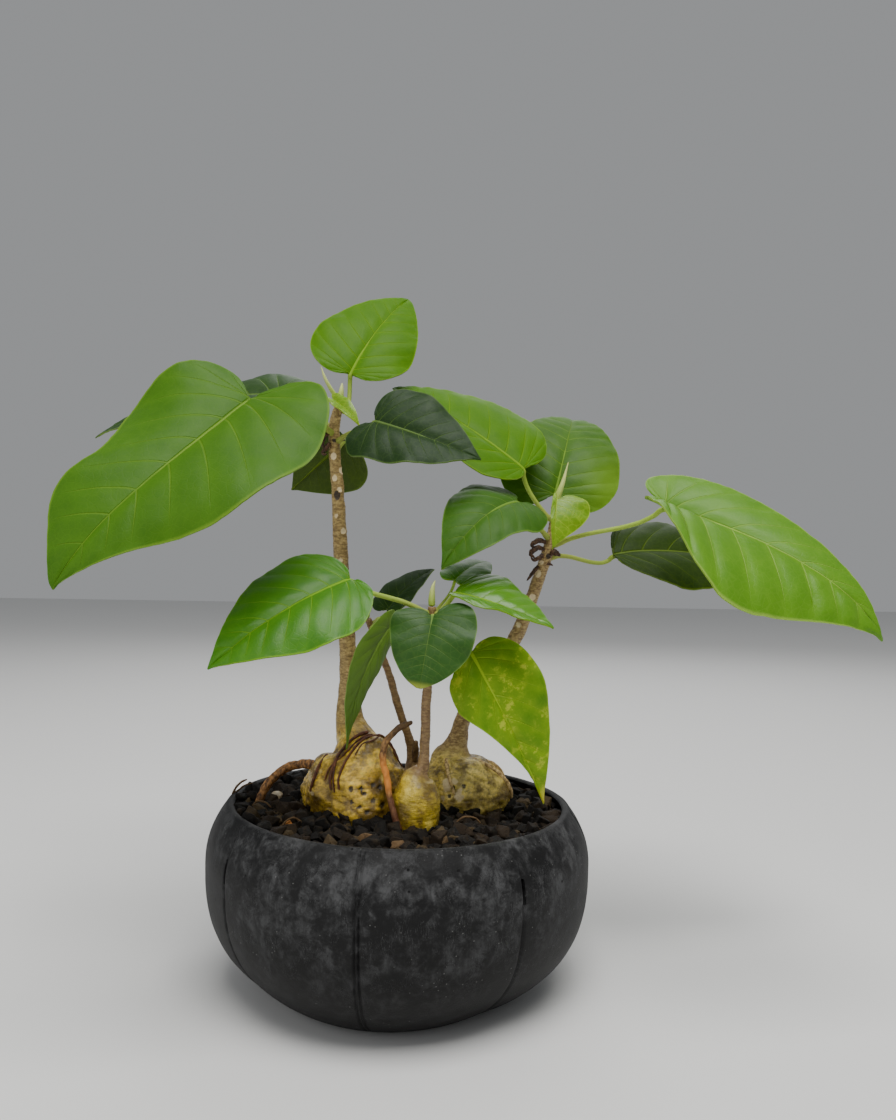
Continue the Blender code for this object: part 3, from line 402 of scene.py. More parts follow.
LEAVES = (
    leaf(
        "leaf_left_front", 214, (-54, -38, 220), (-106, -77.5, 151.5), (-0.05, -0.85, 0.55), "broad",
        half=(0.38, 0.34), lobe=(0.7, 0.3), full=(1, 0.65), narrow=(-0.1, -0.05),
        dents=((0, 0.61, -0.06), (0, 0.75, 0.07), (1, 0.33, -0.03), (1, 0.61, 0.21), (1, 0.75, -0.15)),
        bend=11, tip_bend=35, fold=(21, 4), curl=26, twist=-10, sweep=-9, wave=0.05, waves=1.43, phase=0.3,
        reach=(0.4, 0.4), quilt=(0.45, 0.18),
    ),
    leaf(
        "leaf_left_behind", 217, (-56, 25, 234), (-142, 45, 217), (0, -0.5, 0.8), "deep", half=(0.36, 0.3),
        full=(1.2, 1.2), bend=30,
    ),
    leaf(
        "leaf_left_top", 224, (-23, 5, 239), (-1.5, 36, 279), (0.05, -0.95, 0.35), "lime",
        half=(0.42, 0.37), lobe=(0.25, 0.15), full=(0.8, 0.65), narrow=(0.05, 0.1), bend=30, fold=(14, 4),
        curl=32, sweep=-10, wave=0.015,
    ),
    leaf(
        "leaf_left_young", 225, (-29, -2, 227), (-17.5, -10, 215.5), (0.3, -0.9, 0.4), "shoot",
        half=(0.2, 0.2), fold=(40, 30), small=True,
    ),
    leaf(
        "leaf_left_right", 211, (-11.5, -12, 217), (29.5, -22, 201.5), (0.2, -0.9, 0.4), "blue",
        half=(0.42, 0.38), lobe=(0.25, 0.7), full=(0.8, 0.85), narrow=(0, -0.2),
        dents=((1, 0.33, -0.06), (1, 0.47, 0.05), (1, 0.61, 0.03)), bend=30, tip_bend=-5, fold=(15, 9),
        curl=25, twist=-14, sweep=4, phase=-0.05,
    ),
    leaf(
        "leaf_left_back", 208, (-26, 14, 213), (-49, 22, 193), (0.3, 1, 0.6), "shade", half=(0.42, 0.6),
        lobe=(0.2, 0.2), narrow=(0.3, 0), bend=30,
    ),
    leaf(
        "leaf_right_left", 181, (47.5, 0, 201), (-6.5, 18, 236), (0.25, -0.65, 0.7), "lime",
        half=(0.3, 0.45), lobe=(0.2, 0.25), full=(0.7, 0.7), narrow=(0, 0.1), bend=25, fold=(13, 7),
        curl=26, twist=3, sweep=-5, wave=0.005,
    ),
    leaf(
        "leaf_right_upright", 184, (62.5, 18, 192.5), (73.5, 49.5, 229), (-0.05, -0.95, 0.3), "round",
        half=(0.52, 0.5), lobe=(0.7, 0.6), full=(0.4, 0.4), bend=51, tip_bend=3, fold=(13, 9), curl=37,
        twist=-2, wave=0.015,
    ),
    leaf(
        "leaf_right_low_left", 173, (45, -8, 187), (15.5, -30.5, 160), (-0.15, -0.8, 0.55), "soft",
        half=(0.32, 0.41), lobe=(0.6, 0.5), full=(0.7, 1), narrow=(-0.2, 0.05),
        dents=((0, 0.47, -0.04), (0, 0.61, 0.07)), bend=66, tip_bend=9, fold=(10, 9), curl=37, twist=7,
        sweep=9, wave=0.01,
    ),
    leaf(
        "leaf_right_young", 185, (60.5, -4, 188.5), (58.5, -9.5, 168.5), (0.1, -0.95, 0.3), "shoot",
        half=(0.61, 0.09), lobe=(0.55, 0.7), full=(1.15, 0.8), narrow=(-0.15, 0), dents=((0, 0.33, -0.03),),
        bend=43, fold=(15, 6), curl=29, twist=-4, sweep=6, phase=-0.05, small=True,
    ),
    leaf(
        "leaf_right_front", 171, (100.5, -15.5, 185.5), (171, -43, 137), (0.05, -0.65, 0.75), "quilted",
        half=(0.22, 0.44), lobe=(0.6, 0.35), full=(0.9, 0.9), narrow=(0.05, 0.6), dents=((1, 0.61, -0.09),),
        bend=19, tip_bend=38, fold=(36, 2), curl=28, twist=19, sweep=-3, wave=0, quilt=(0.4, 1.3),
    ),
    leaf(
        "leaf_right_under", 166, (88, 22, 167.5), (164.5, 50.5, 150.5), (0, -0.6, 0.8), "shade",
        half=(0.29, 0.27), lobe=(-0.05, 0), full=(0.9, 0.85), narrow=(0, 0.05), dents=((1, 0.61, -0.03),),
        bend=54, tip_bend=6, fold=(16, 6), twist=5, wave=0.015, phase=-0.05, quilt=(0.5, 0.3),
    ),
    leaf(
        "leaf_centre_left", 143, (-17, -38, 156), (-61, -62, 125.5), (0, -0.7, 0.7), "fresh",
        half=(0.37, 0.38), lobe=(0.2, 0.2), full=(0.85, 0.85), narrow=(0.05, 0.05),
        dents=((0, 0.61, -0.03),), bend=37, fold=(14, 5), curl=33, twist=-4, wave=0.015, phase=-0.05,
        quilt=(0.5, 0.5),
    ),
    leaf(
        "leaf_centre_front", 141, (12.5, -33, 143), (8.5, -42.5, 118), (-0.05, -0.85, 0.5), "blue_tip",
        half=(0.62, 0.51), lobe=(0.9, 0.35), full=(0.55, 0.45), narrow=(-0.05, -0.15),
        dents=((0, 0.47, 0.03), (1, 0.33, -0.04)), bend=42, fold=(18, 5), curl=24, twist=-4, sweep=-7,
        wave=0.025, phase=0.05, quilt=(0.5, 0.5),
    ),
    leaf(
        "leaf_centre_right", 143, (20.5, -28, 151.5), (56, -38, 139.5), (0.1, -0.5, 0.85), "gloss",
        half=(0.47, 0.13), lobe=(-0.15, 0.2), full=(0.85, 0.8), bend=31, tip_bend=-8, fold=(17, 6), curl=25,
        twist=-5, sweep=6, wave=0.015, quilt=(0.5, 0.4),
    ),
    leaf(
        "leaf_centre_back", 144, (20.5, -14, 156), (34.5, 5, 163), (-0.2, -0.7, 0.7), "fresh",
        half=(0.36, 0.4), lobe=(0.4, 0.4), small=True,
    ),
    leaf(
        "leaf_centre_low", 138, (27, -23.5, 129), (55, -22.5, 73), (0.15, -0.95, 0.25), "yellowing",
        half=(0.33, 0.22), lobe=(0.2, -0.1), full=(1, 2.8), narrow=(0.05, -0.2),
        dents=((1, 0.33, -0.08), (1, 0.61, 0.08)), bend=36, tip_bend=-4, fold=(14, 7), curl=31, twist=-5,
    ),
    leaf(
        "leaf_back_up", 137, (-7, 14, 143), (12, 24, 160), (-0.3, -0.6, 0.8), "deep", half=(0.45, 0.25),
        lobe=(0.5, 0.5), small=True,
    ),
    leaf(
        "leaf_back_down", 135, (-4.5, -12, 137), (-19.5, -17.5, 91), (0.75, -0.5, 0.45), "slim",
        half=(0.13, 0.17), full=(1.3, 1.35), narrow=(0.05, 0.05), bend=9, tip_bend=-5, fold=(13, 7),
        curl=36, twist=3, sweep=46, wave=0.01, phase=0.05,
    ),
)


def half_blade(kind, which, share):
    """Edge place along the midrib, its half width share and its vein's foot, at shares of the way round."""
    mix = along_curve(HALF_BLADE, share * (len(HALF_BLADE) - 1), held=True)
    along = kind.lobe[which] * mix[:, 0] + (1 - kind.lobe[which]) * mix[:, 1]
    out = np.maximum(mix[:, 2], 0)
    out = np.where(along > WIDEST, out ** kind.full[which], out)
    out = out * (1 - kind.narrow[which] * ease(0.45 - along, 0, 0.65))
    for half, middle, depth in kind.dents:
        if half == which:
            out = out * (1 - depth * np.exp(-(((share - middle) / DENT_WIDTH) ** 2)))
    return along, out, np.maximum(mix[:, 3], 0)


def midrib_frame(kind, u):
    """The midrib's direction, the way to its left and the way up, at shares u along it."""
    u = np.asarray(u, float)
    ahead = np.maximum(u, 0)
    pitch = -np.radians(kind.bend * u + kind.tip_bend * ahead**4)
    yaw = np.radians(kind.sweep * u)
    zero = np.zeros_like(u)
    along = np.stack((np.cos(yaw) * np.cos(pitch), np.sin(yaw) * np.cos(pitch), np.sin(pitch)), -1)
    left = np.stack((-np.sin(yaw), np.cos(yaw), zero), -1)
    up = np.cross(along, left)
    turn = np.radians(kind.twist * ahead)[..., None]
    left = left * np.cos(turn) + up * np.sin(turn)
    return along, left, np.cross(along, left)


class Blade:
    """A leaf's blade in space: where its points and its midrib are."""

    def __init__(self, kind):
        self.kind = kind
        step = 1 / MIDRIB_STEPS
        self.marks = np.arange(-LOBE_STEPS, MIDRIB_STEPS + 1) * step
        ways = midrib_frame(kind, self.marks[:-1] + step / 2)[0] * step
        self.places = np.vstack((np.zeros(3), np.cumsum(ways, axis=0)))
        self.places -= self.places[LOBE_STEPS]
        chord = self.places[-1]
        self.base = np.array(kind.base, float)
        reach = np.array(kind.tip, float) - self.base
        self.length = np.linalg.norm(reach) / np.linalg.norm(chord)
        self.out = midrib_frame(kind, 0.35)[2]
        self.turn = self.axes(reach, np.array(kind.faces, float)) @ self.axes(chord, self.out).T

    @staticmethod
    def axes(ahead, up):
        """Directions ahead, to the left and up, as columns, with up square to ahead."""
        x = unit(ahead)
        z = unit(up - x * (x @ up))
        return np.column_stack((x, np.cross(z, x), z))

    def midrib(self, u):
        here = np.stack([np.interp(u, self.marks, self.places[:, k]) for k in range(3)], -1)
        return here, midrib_frame(self.kind, u)

    def lay(self, across, share, rise):
        """Points at across, from -1 on the right edge to 1 on the left, raised by rise millimetres.

        With them, how far each is out from the midrib and along it."""
        kind = self.kind
        out = np.abs(across)
        halves = zip(half_blade(kind, 0, share), half_blade(kind, 1, share))
        along, wide, foot = (np.where(across > 0, a, b) for a, b in halves)
        half = np.where(across > 0, *kind.half)
        u = foot + (along - foot) * out**VEIN_ARCH
        reach = wide * half * out
        here, (_, left, up) = self.midrib(u)
        blend = np.clip(u / 0.7, 0, 1)
        fold = np.radians(kind.fold[0] + (kind.fold[1] - kind.fold[0]) * blend)
        rate = math.radians(kind.curl) / half
        slope = fold - rate * reach
        y = (np.sin(fold) - np.sin(slope)) / rate * np.where(across > 0, 1, -1)
        z = (np.cos(slope) - np.cos(fold)) / rate
        cycle = kind.waves * u + kind.phase + np.where(across > 0, 0.35, 0)
        z = z + kind.wave * (reach / half) ** 2 * np.sin(math.tau * cycle)
        lift = rise / np.maximum(np.cos(slope), STEEPEST)
        local = self.length * (here + y[:, None] * left + z[:, None] * up) + lift[:, None] * up
        return self.base + local @ self.turn.T, reach * self.length, u * self.length

    def rib(self, u, below):
        """A point this far below the midrib, with the midrib's direction and the way up there."""
        here, (along, _, up) = self.midrib(u)
        return self.base + self.turn @ (self.length * here - below * up), self.turn @ along, self.turn @ up


def vein_relief(blade, across, share, reach, ahead):
    """How far the blade rises between its side veins and sinks along its midrib, and the veins' spacing."""
    nearby = 0.004
    side = np.sign(across)
    out = np.abs(across)
    number = np.interp(share, VEIN_ENDS, range(len(VEIN_ENDS)))
    _, there_reach, there_ahead = blade.lay(across, np.clip(share + nearby, 0, 1), np.zeros_like(share))
    rate = (np.interp(share + nearby, VEIN_ENDS, range(len(VEIN_ENDS))) - number) / nearby
    moved = np.linalg.norm(np.stack(((there_reach - reach) * side, there_ahead - ahead)), axis=0)
    gap = moved / nearby / np.maximum(rate, 0.5)
    part = number % 1
    dome = (4 * part * (1 - part)) ** 0.75 * ease(out, 0.02, 0.3) * (1 - 0.6 * ease(out, 0.75, 1.0))
    dome *= ease(gap, 0.5, 9.0)
    groove = np.exp(-((reach / (1.1 + 0.012 * blade.length)) ** 2))
    groove *= 1 - 0.7 * ease(ahead / blade.length, 0.2, 0.9)
    size = min(1.0, blade.length / FULL_LEAF)
    return size * (np.where(across > 0, *blade.kind.quilt) * dome - 0.4 * groove), number, gap


def make_blade(kind, group):
    """A leaf's blade as an object, and where its points are."""
    blade = Blade(kind)
    columns, rows, first = (20, 50, 1 / 8) if kind.small else (44, 104, 1 / 10)

    def rule(x, y):
        across = np.sign(x - 0.5) * np.abs(2 * x - 1) ** 1.25
        share = first + (1 - first) * y
        flat, reach, ahead = blade.lay(across, share, np.zeros_like(share))
        rise, number, gap = vein_relief(blade, across, share, reach, ahead)
        crumple = 0.16 * bumps(flat, 5.0, 1) + 0.3 * bumps(flat, 14.0, 2)
        frill = np.abs(across) ** 6 * 0.35 * bumps(flat, 3.2, 3)
        size = min(1.0, blade.length / FULL_LEAF)
        places, reach, ahead = blade.lay(across, share, rise + size * (crumple + frill))
        return places, {
            "gap": gap,
            "veins": np.stack((np.abs(across), number), -1),
            "flat": np.stack((np.sign(across) * reach, ahead), -1) * MM,
            "ahead": np.clip(ahead / blade.length, -1, 1),
        }

    bm = grid(columns, rows, rule, floats=("gap", "ahead"), maps=("veins", "flat"), merge=0.03)
    middle = max(bm.faces, key=lambda face: face.calc_area())
    if middle.normal.dot(Vector(blade.turn @ blade.out)) < 0:
        bmesh.ops.reverse_faces(bm, faces=bm.faces)
    obj = finish_mesh(bm, kind.name, blade_materials(kind, group, blade.length), turn_out=False)
    thick = obj.modifiers.new("blade", "SOLIDIFY")
    thick.thickness = BLADE * MM
    thick.offset = 0
    thick.material_offset = thick.material_offset_rim = 1
    return applied(obj), blade


def axis_at(trunk, z):
    """The trunk's centre and radius at a height."""
    line = np.array(TRUNKS[trunk].line, float)
    return np.array([np.interp(z, line[:, 2], line[:, k]) for k in range(4)])


def stalk_points(kind, blade):
    """The stalk's centre line with radii, from the stem round under the blade and along its midrib."""
    centre = axis_at(kind.trunk, kind.node_z)
    stem = unit((axis_at(kind.trunk, kind.node_z + 3) - axis_at(kind.trunk, kind.node_z - 3))[:3])
    out = (blade.base - centre[:3]) * (1, 1, 0)
    out = unit(out - stem * (out @ stem))
    start = centre[:3] + out * (centre[3] * 0.7)
    joint, along, up = blade.rib(0.0, BLADE / 2)
    span = np.linalg.norm(joint - start)
    first = start + out * 1.2
    second = start + (out * 0.8 + np.array((0, 0, 0.6))) * span * kind.reach[0]
    third = joint - unit(along * 0.5 + up * 0.9) * span * kind.reach[1]
    scale = 0.62 if kind.small else 1.0
    points = [(*start, 1.5 * scale)]
    for t in (0.06, 0.14, 0.3, 0.45, 0.6, 0.75, 0.88, 0.96):
        s = 1 - t
        here = s**3 * first + 3 * s**2 * t * second + 3 * s * t**2 * third + t**3 * joint
        thick = 0.9 + 0.5 * math.exp(-t / 0.1) + 0.15 * ease(t, 0.8, 1.0)
        points.append((*here, float(thick) * scale))
    for u in (0.03, 0.1, 0.2, 0.32, 0.45, 0.6, 0.75, 0.88):
        radius = (0.85 * (1 - u) ** 1.1 + 0.12) * scale
        points.append((*blade.rib(u, BLADE / 2 + 0.1 * radius + 0.2)[0], radius))
    return points


def blade_rule(g, deep, light, vein, veins, netted, clouded, gloss, length):
    """The skin of a leaf: pale veins in a darker blade, a fine net between them and a grain."""
    out, number, _ = g.parts(g.spread("veins"))
    flat = g.spread("flat")
    reach = (0.5 - abs(g.math("FRACT", number) - 0.5)) * g.attribute("gap")
    middle = abs(g.parts(flat)[0] * (1 / MM))
    size = length * (1 / 70)
    width = size * g.step(out, 0, 1, 0.46, 0.12)
    side = (1 - g.step(reach, width * 0.3, width)) * g.step(out, 0.97, 0.6)
    width = size * g.step(g.attribute("ahead"), 0, 1, 0.85, 0.22)
    lines = g.math("MAXIMUM", 1 - g.step(middle, width * 0.45, width), side * 0.8)
    halo = g.math("MAXIMUM", 1 - g.step(reach, 0, size * 3.4), 1 - g.step(middle, 0, size * 5))
    net = 1 - g.step(g.cells(flat, 2.6, "DISTANCE_TO_EDGE"), 0, 0.11)
    fine = 1 - g.step(g.cells(flat, 0.9, "DISTANCE_TO_EDGE"), 0, 0.2)
    patch = g.noise(flat, 5, 4, 0.6) - 0.5
    cloud = (g.noise(flat, 17, 2) - 0.5) * 1.5 + patch * 0.7
    cloud = g.math("ADD", 0.42, cloud * clouded, clamp=True)
    colour = g.mix(g.math("ADD", cloud, halo * 0.2, clamp=True), deep, light)
    colour = g.mix(net * netted * 0.14, colour, vein)
    colour = g.mix(g.math("MULTIPLY", lines, veins, clamp=True), colour, vein)
    colour = g.layered(colour, (out, 0.965, 0.995, 0.5, vein))
    height = lines * -0.55 - net * 0.05 - fine * 0.015 + g.noise(flat, 1.2) * 0.05
    return colour, gloss + patch * 0.16 + lines * 0.06, height


# Each look: deep and light blade colours, vein colour, vein strength, net, cloud, roughness, shine.
# The deep and shade looks are darker for leaves that lie in shade: painted shade.
LOOKS = {
    "broad": ((0.031, 0.106, 0.002), (0.06, 0.164, 0.003), (0.17, 0.3, 0.02), 0.32, 0.25, 0.6, 0.5, 0.15),
    "deep": ((0.008, 0.034, 0.002), (0.018, 0.06, 0.003), (0.12, 0.22, 0.02), 0.45, 0.4, 0.7, 0.45, 0.22),
    "lime": ((0.044, 0.138, 0), (0.074, 0.192, 0), (0.2, 0.36, 0), 0.4, 0.35, 0.7, 0.48, 0.1),
    "shoot": ((0.085, 0.2, 0), (0.19, 0.34, 0.001), (0.5, 0.66, 0.06), 0.75, 0.9, 1, 0.38, 0.3),
    "blue": ((0.007, 0.026, 0.004), (0.014, 0.04, 0.006), (0.1, 0.18, 0.03), 0.5, 0.5, 0.6, 0.5, 0.16),
    "blue_tip": ((0.016, 0.06, 0.008), (0.032, 0.094, 0.01), (0.15, 0.26, 0.04), 0.5, 0.5, 0.6, 0.45, 0.22),
    "shade": ((0.009, 0.026, 0), (0.02, 0.046, 0), (0.1, 0.16, 0.005), 0.45, 0.5, 0.6, 0.52, 0.1),
    "round": ((0.025, 0.088, 0.002), (0.058, 0.15, 0.003), (0.18, 0.32, 0.02), 0.5, 0.4, 0.9, 0.48, 0.18),
    "soft": ((0.025, 0.088, 0.004), (0.044, 0.124, 0.006), (0.17, 0.3, 0.03), 0.42, 0.3, 0.5, 0.5, 0.15),
    "quilted": ((0.06, 0.185, 0.003), (0.112, 0.275, 0.006), (0.34, 0.5, 0.08), 0.38, 0.3, 0.7, 0.44, 0.25),
    "fresh": ((0.026, 0.13, 0), (0.062, 0.215, 0), (0.22, 0.42, 0), 0.45, 0.35, 0.8, 0.42, 0.28),
    "gloss": ((0.04, 0.155, 0), (0.082, 0.24, 0), (0.22, 0.42, 0), 0.35, 0.3, 0.8, 0.32, 0.38),
    "yellowing": ((0.07, 0.19, 0.001), (0.195, 0.33, 0.002), (0.34, 0.5, 0.02), 0.42, 0.35, 1.3, 0.45, 0.2),
    "slim": ((0.082, 0.16, 0.018), (0.11, 0.22, 0.024), (0.2, 0.34, 0.05), 0.4, 0.3, 0.6, 0.5, 0.22),
}
SLOTS = {
    "broad": "leaf_green", "soft": "leaf_green", "quilted": "leaf_green", "fresh": "leaf_green",
    "lime": "leaf_bright", "shoot": "leaf_bright", "gloss": "leaf_bright", "yellowing": "leaf_mottled",
}


def tinted(colour, share, other=(0.26, 0.38, 0.05)):
    return tuple(a + (b - a) * share for a, b in zip(colour, other))


def blade_materials(kind, group, length):
    """The upper side, and the paler underside and edge, of one leaf."""
    deep, light, vein, veins, net, cloud, gloss, shine = LOOKS[kind.look]

    def upper(g):
        colour, roughness, height = g.group(
            group, deep=deep, light=light, vein=vein, veins=veins, netted=net, clouded=cloud, gloss=gloss,
            length=length,
        )
        if kind.look == "yellowing":
            flat = g.spread("flat")
            spots = g.step(g.noise(flat, 4.2, 5, 0.68), 0.5, 0.62) * g.step(g.noise(flat, 16, 1), 0.38, 0.58)
            colour = g.mix(spots * 0.75, colour, (0.44, 0.50, 0.035))
            colour = g.layered(colour, (g.attribute("ahead"), 0.86, 0.99, 1, (0.60, 0.55, 0.04)))
        if kind.look == "blue_tip":
            colour = g.layered(colour, (g.attribute("ahead"), 0.9, 1.0, 0.7, (0.40, 0.45, 0.05)))
        if kind.look == "round":
            right_low = g.step(g.parts(g.spread("flat"))[0], -0.004, -0.024)
            right_low = right_low * g.step(g.attribute("ahead"), 0.75, 0.15)
            colour = g.mix(right_low * 0.7, colour, (0.14, 0.27, 0.012))
        return colour, roughness, height, 0.35

    def under(g):
        # The shade look's underside is tinted less, to stay dark: painted shade.
        pale = 0.1 if kind.look == "shade" else 0.22
        deeper, lighter, veined = (tinted(tone, pale) for tone in (deep, light, vein))
        colour, roughness, height = g.group(
            group, deep=deeper, light=lighter, vein=veined, veins=veins + 0.15, netted=1, clouded=0.4,
            gloss=0.55, length=length,
        )
        return colour, roughness, height * -1, 0.5

    return finish(f"{kind.name} upper", upper, shine), finish(f"{kind.name} under", under, 0.2)


def stalk_material(name, foot, end, rib):
    """A stalk's colours at its foot, at its end and under the blade, where it is the midrib."""
    def rule(g):
        share = g.attribute("length")
        streaks = g.noise(g.place((1, 1, 0.2)), 1.2)
        colour = g.mix(g.step(share, 0.02, 0.4), foot, end)
        colour = g.mix(streaks * 0.45, colour, tinted(end, 0.5, (0.36, 0.46, 0.12)))
        spots = g.cells(g.place(), 1.1)
        colour = g.layered(colour, (spots, 0.16, 0.08, 0.35, (0.20, 0.14, 0.05)))
        colour = g.layered(colour, (share, 0.47, 0.55, 0.95, rib))
        return colour, 0.5 + streaks * 0.2, streaks, 0.12

    return finish(name, rule, 0.2)


# Trunks

# The rings of a trunk's skin lie this far apart. A swollen base ends at this height.
RING_GAP = 0.62
BASE_TOP = 90


def trunk(line, sides, swell, rough, wrinkled=1, skin=(4.2, 9.0)):
    """A stem with its base: rough is the height of its knobs, wrinkled the strength of its creases.

    skin gives the radius where the stem's bark begins to change, and where it is all the base's skin."""
    return SimpleNamespace(**locals())


# Centre lines and radii from below. Swellings are (direction, height, how far out, width, half height).
TRUNKS = {
    "trunk_left": trunk(
        (
            (-19, -4, 40, 5), (-18.5, -5, 52, 12), (-17.5, -5, 61, 17.5), (-16.8, -5, 68, 19),
            (-16.5, -5, 74, 19.2), (-16.5, -5, 79, 18.7), (-16, -4.5, 83, 17), (-15.2, -3, 87, 13),
            (-17.2, -0.5, 91, 9), (-19.4, 1.8, 95.5, 6.8), (-21, 3, 101, 5.4), (-21.6, 4, 115, 3.7),
            (-22.5, 4.5, 132, 3.3), (-24.5, 5, 150, 3.1), (-26, 5, 170, 2.8), (-27.3, 5, 190, 2.5),
            (-29, 5, 208, 2.3), (-29, 5, 219, 2.1), (-27, 4.5, 227, 1.7),
        ),
        176, ((-75, 68, 4, 28, 9), (170, 72, 2.5, 30, 8), (-140, 76, 1.5, 25, 7)), 1.3,
    ),
    "trunk_centre": trunk(
        (
            (7, -24, 46, 3), (7.2, -24.5, 55, 6), (7.4, -25, 62, 7.6), (7.5, -25, 68, 8.6),
            (7.6, -25, 74, 8.8), (7.5, -25, 79, 7.7), (7.7, -25, 82.5, 5.6), (8.8, -25, 85, 3.2),
            (9.9, -25, 87.5, 2.1), (10.3, -25, 97, 1.8), (10.7, -25, 112, 1.7), (11.4, -25, 130, 1.6),
            (12.1, -25, 146, 1.5),
        ),
        88, (), 0.5, wrinkled=0.45, skin=(2.6, 6.5),
    ),
    "trunk_right": trunk(
        (
            (26, 12, 42, 4.5), (26, 12, 54, 12), (26, 11.5, 62, 17), (25.7, 11, 68, 17.5),
            (24.6, 11, 74, 15.8), (22.8, 11.5, 79, 12.8), (21.3, 12, 83, 9), (22, 12, 86.5, 5.8),
            (23.2, 12, 91, 4), (25.6, 11.5, 100, 3.1), (35, 10.5, 115, 3), (44.5, 9.5, 130, 2.9),
            (49.5, 9, 141, 2.7), (54, 8.5, 154, 2.5), (58.5, 8, 168, 2.4), (61, 8, 178, 2.2),
            (61.4, 8, 187, 1.6),
        ),
        176, ((-25, 72, 2.2, 25, 8), (-95, 70, 2, 28, 8), (-160, 74, 2, 30, 7)), 1.2,
    ),
    "trunk_back": trunk(
        (
            (4.6, 23, 52, 1.8), (4.6, 23, 60, 3.6), (4.6, 23, 68, 4.6), (4.6, 23, 74, 4.2),
            (4.2, 23, 80, 2.6), (2.6, 22.5, 88, 1.8), (-2, 21, 101, 1.6), (-6.4, 19, 116, 1.5),
            (-11, 17, 128, 1.4), (-15.1, 15, 139, 1.3),
        ),
        56, (), 0.3, wrinkled=0.4,
    ),
}
# Roots on the swollen bases: (direction in degrees, height) points and the radius.
ROOTS = {
    "trunk_left": (
        ([(-50, 92), (-84, 91.5), (-116, 89), (-120, 84.5), (-116, 79.5), (-110, 73.5)], 0.7),
        ([(-22, 90.5), (-72, 90), (-102, 87), (-106, 81), (-101, 74)], 0.6),
        ([(-30, 91), (-12, 88.5), (-4, 84)], 0.6),
        ([(-150, 86.5), (-140, 83), (-138, 78.5), (-142, 73)], 0.7), ([(60, 88), (75, 80), (85, 70)], 0.9),
        ([(-46, 91), (-66, 90.8), (-92, 89.5), (-112, 87), (-124, 82), (-122, 76)], 0.45),
        ([(-40, 90.5), (-20, 89.5), (-8, 86), (-2, 80)], 0.5),
        ([(-128, 88), (-118, 84), (-112, 80), (-108, 74)], 0.45),
        ([(-36, 90), (-60, 89), (-84, 88.5), (-96, 84.5)], 0.35),
    ),
    "trunk_right": (
        ([(-40, 84), (-28, 78), (-20, 72), (-16, 65)], 1.1), ([(-12, 84), (-4, 77), (0, 70), (2, 64)], 0.9),
        ([(-110, 84), (-104, 78), (-98, 70)], 0.8), ([(120, 84), (130, 76), (140, 68)], 0.9),
    ),
}
LOOP_ROOT = (
    (-33, -4, 82.5, 1.9), (-39, -1, 81.7, 1.8), (-43, 0, 80.8, 1.8), (-46.5, 0, 79.2, 1.8),
    (-50, -1, 76.3, 1.7), (-53, -2, 72.7, 1.7), (-55, -3, 68, 1.6), (-55.5, -3, 62, 1.5),
)
HOOK_ROOT = (
    (3.5, -29.5, 60, 1.2), (0.8, -31.8, 67, 1.2), (-0.8, -31.3, 72, 1.2), (-2.3, -29.5, 77, 1.2),
    (-3.5, -28.5, 83.5, 1.2), (-5, -28, 89.5, 1.3), (-4.2, -27.5, 95.5, 1.3), (-0.5, -26.5, 100.2, 1.2),
    (2.6, -26, 102, 1.1), (5.7, -25.5, 103.3, 0.7),
)
STUB = ((4.9, 22, 78, 1.6), (5.4, 20.6, 84, 1.4), (5.4, 20.4, 88, 0.9))
# Roots that stand clear of the bases: path, dark and light colours, where the skin is orange.
LOOSE_ROOTS = {
    "trunk_left": (LOOP_ROOT, (0.055, 0.022, 0.008), (0.42, 0.2, 0.06), None),
    "trunk_centre": (HOOK_ROOT, (0.1, 0.042, 0.014), (0.46, 0.25, 0.085), 0.46),
    "trunk_back": (STUB, (0.06, 0.03, 0.012), (0.24, 0.14, 0.06), None),
}
# Brown curled remains of leaf sheaths, and small dead twigs, near the growing tips.
DRY_SHEATHS = {
    "trunk_left": (
        (
            (-30, 3, 214.5, 0.84), (-32.4, 2, 213.2, 1.12), (-33.6, 1.5, 210.4, 1.12),
            (-32.6, 1.2, 207.6, 0.3),
        ),
        (
            (-30.4, 2.8, 210.5, 0.84), (-31.8, 1.8, 208.4, 1.12), (-33.2, 1.4, 206, 0.84),
            (-31.4, 1.2, 205.4, 0.25),
        ),
        ((-28.2, 4, 211.6, 0.7), (-26.4, 3.4, 212.2, 0.98), (-24.4, 3.2, 211.4, 0.3)),
    ),
    "trunk_right": (
        (
            (57.6, 6.5, 171.5, 0.84), (54.6, 4.6, 172.4, 1.26), (51.8, 3.6, 170.6, 0.98),
            (52.8, 3.2, 168.6, 0.3),
        ),
        ((57, 6.4, 168.8, 0.84), (53.8, 4.2, 169.4, 1.26), (51.2, 3.4, 167, 0.98), (52.8, 3, 165.2, 0.3)),
        ((56.4, 6.4, 166.6, 0.84), (54.8, 4, 165.4, 1.12), (52.4, 3.4, 164.4, 0.7), (51, 3.4, 166, 0.2)),
        ((54.6, 6, 162.2, 0.7), (52.4, 5.2, 159.4, 0.98), (49.8, 5, 155.9, 0.3)),
        ((57.4, 6.6, 162.8, 0.56), (59.4, 6, 162.8, 0.56), (60.6, 6, 162.2, 0.2)),
        ((58.8, 7, 167.2, 1.12), (61.2, 6, 167.6, 1.54), (63.6, 5.8, 166.2, 0.56)),
    ),
}
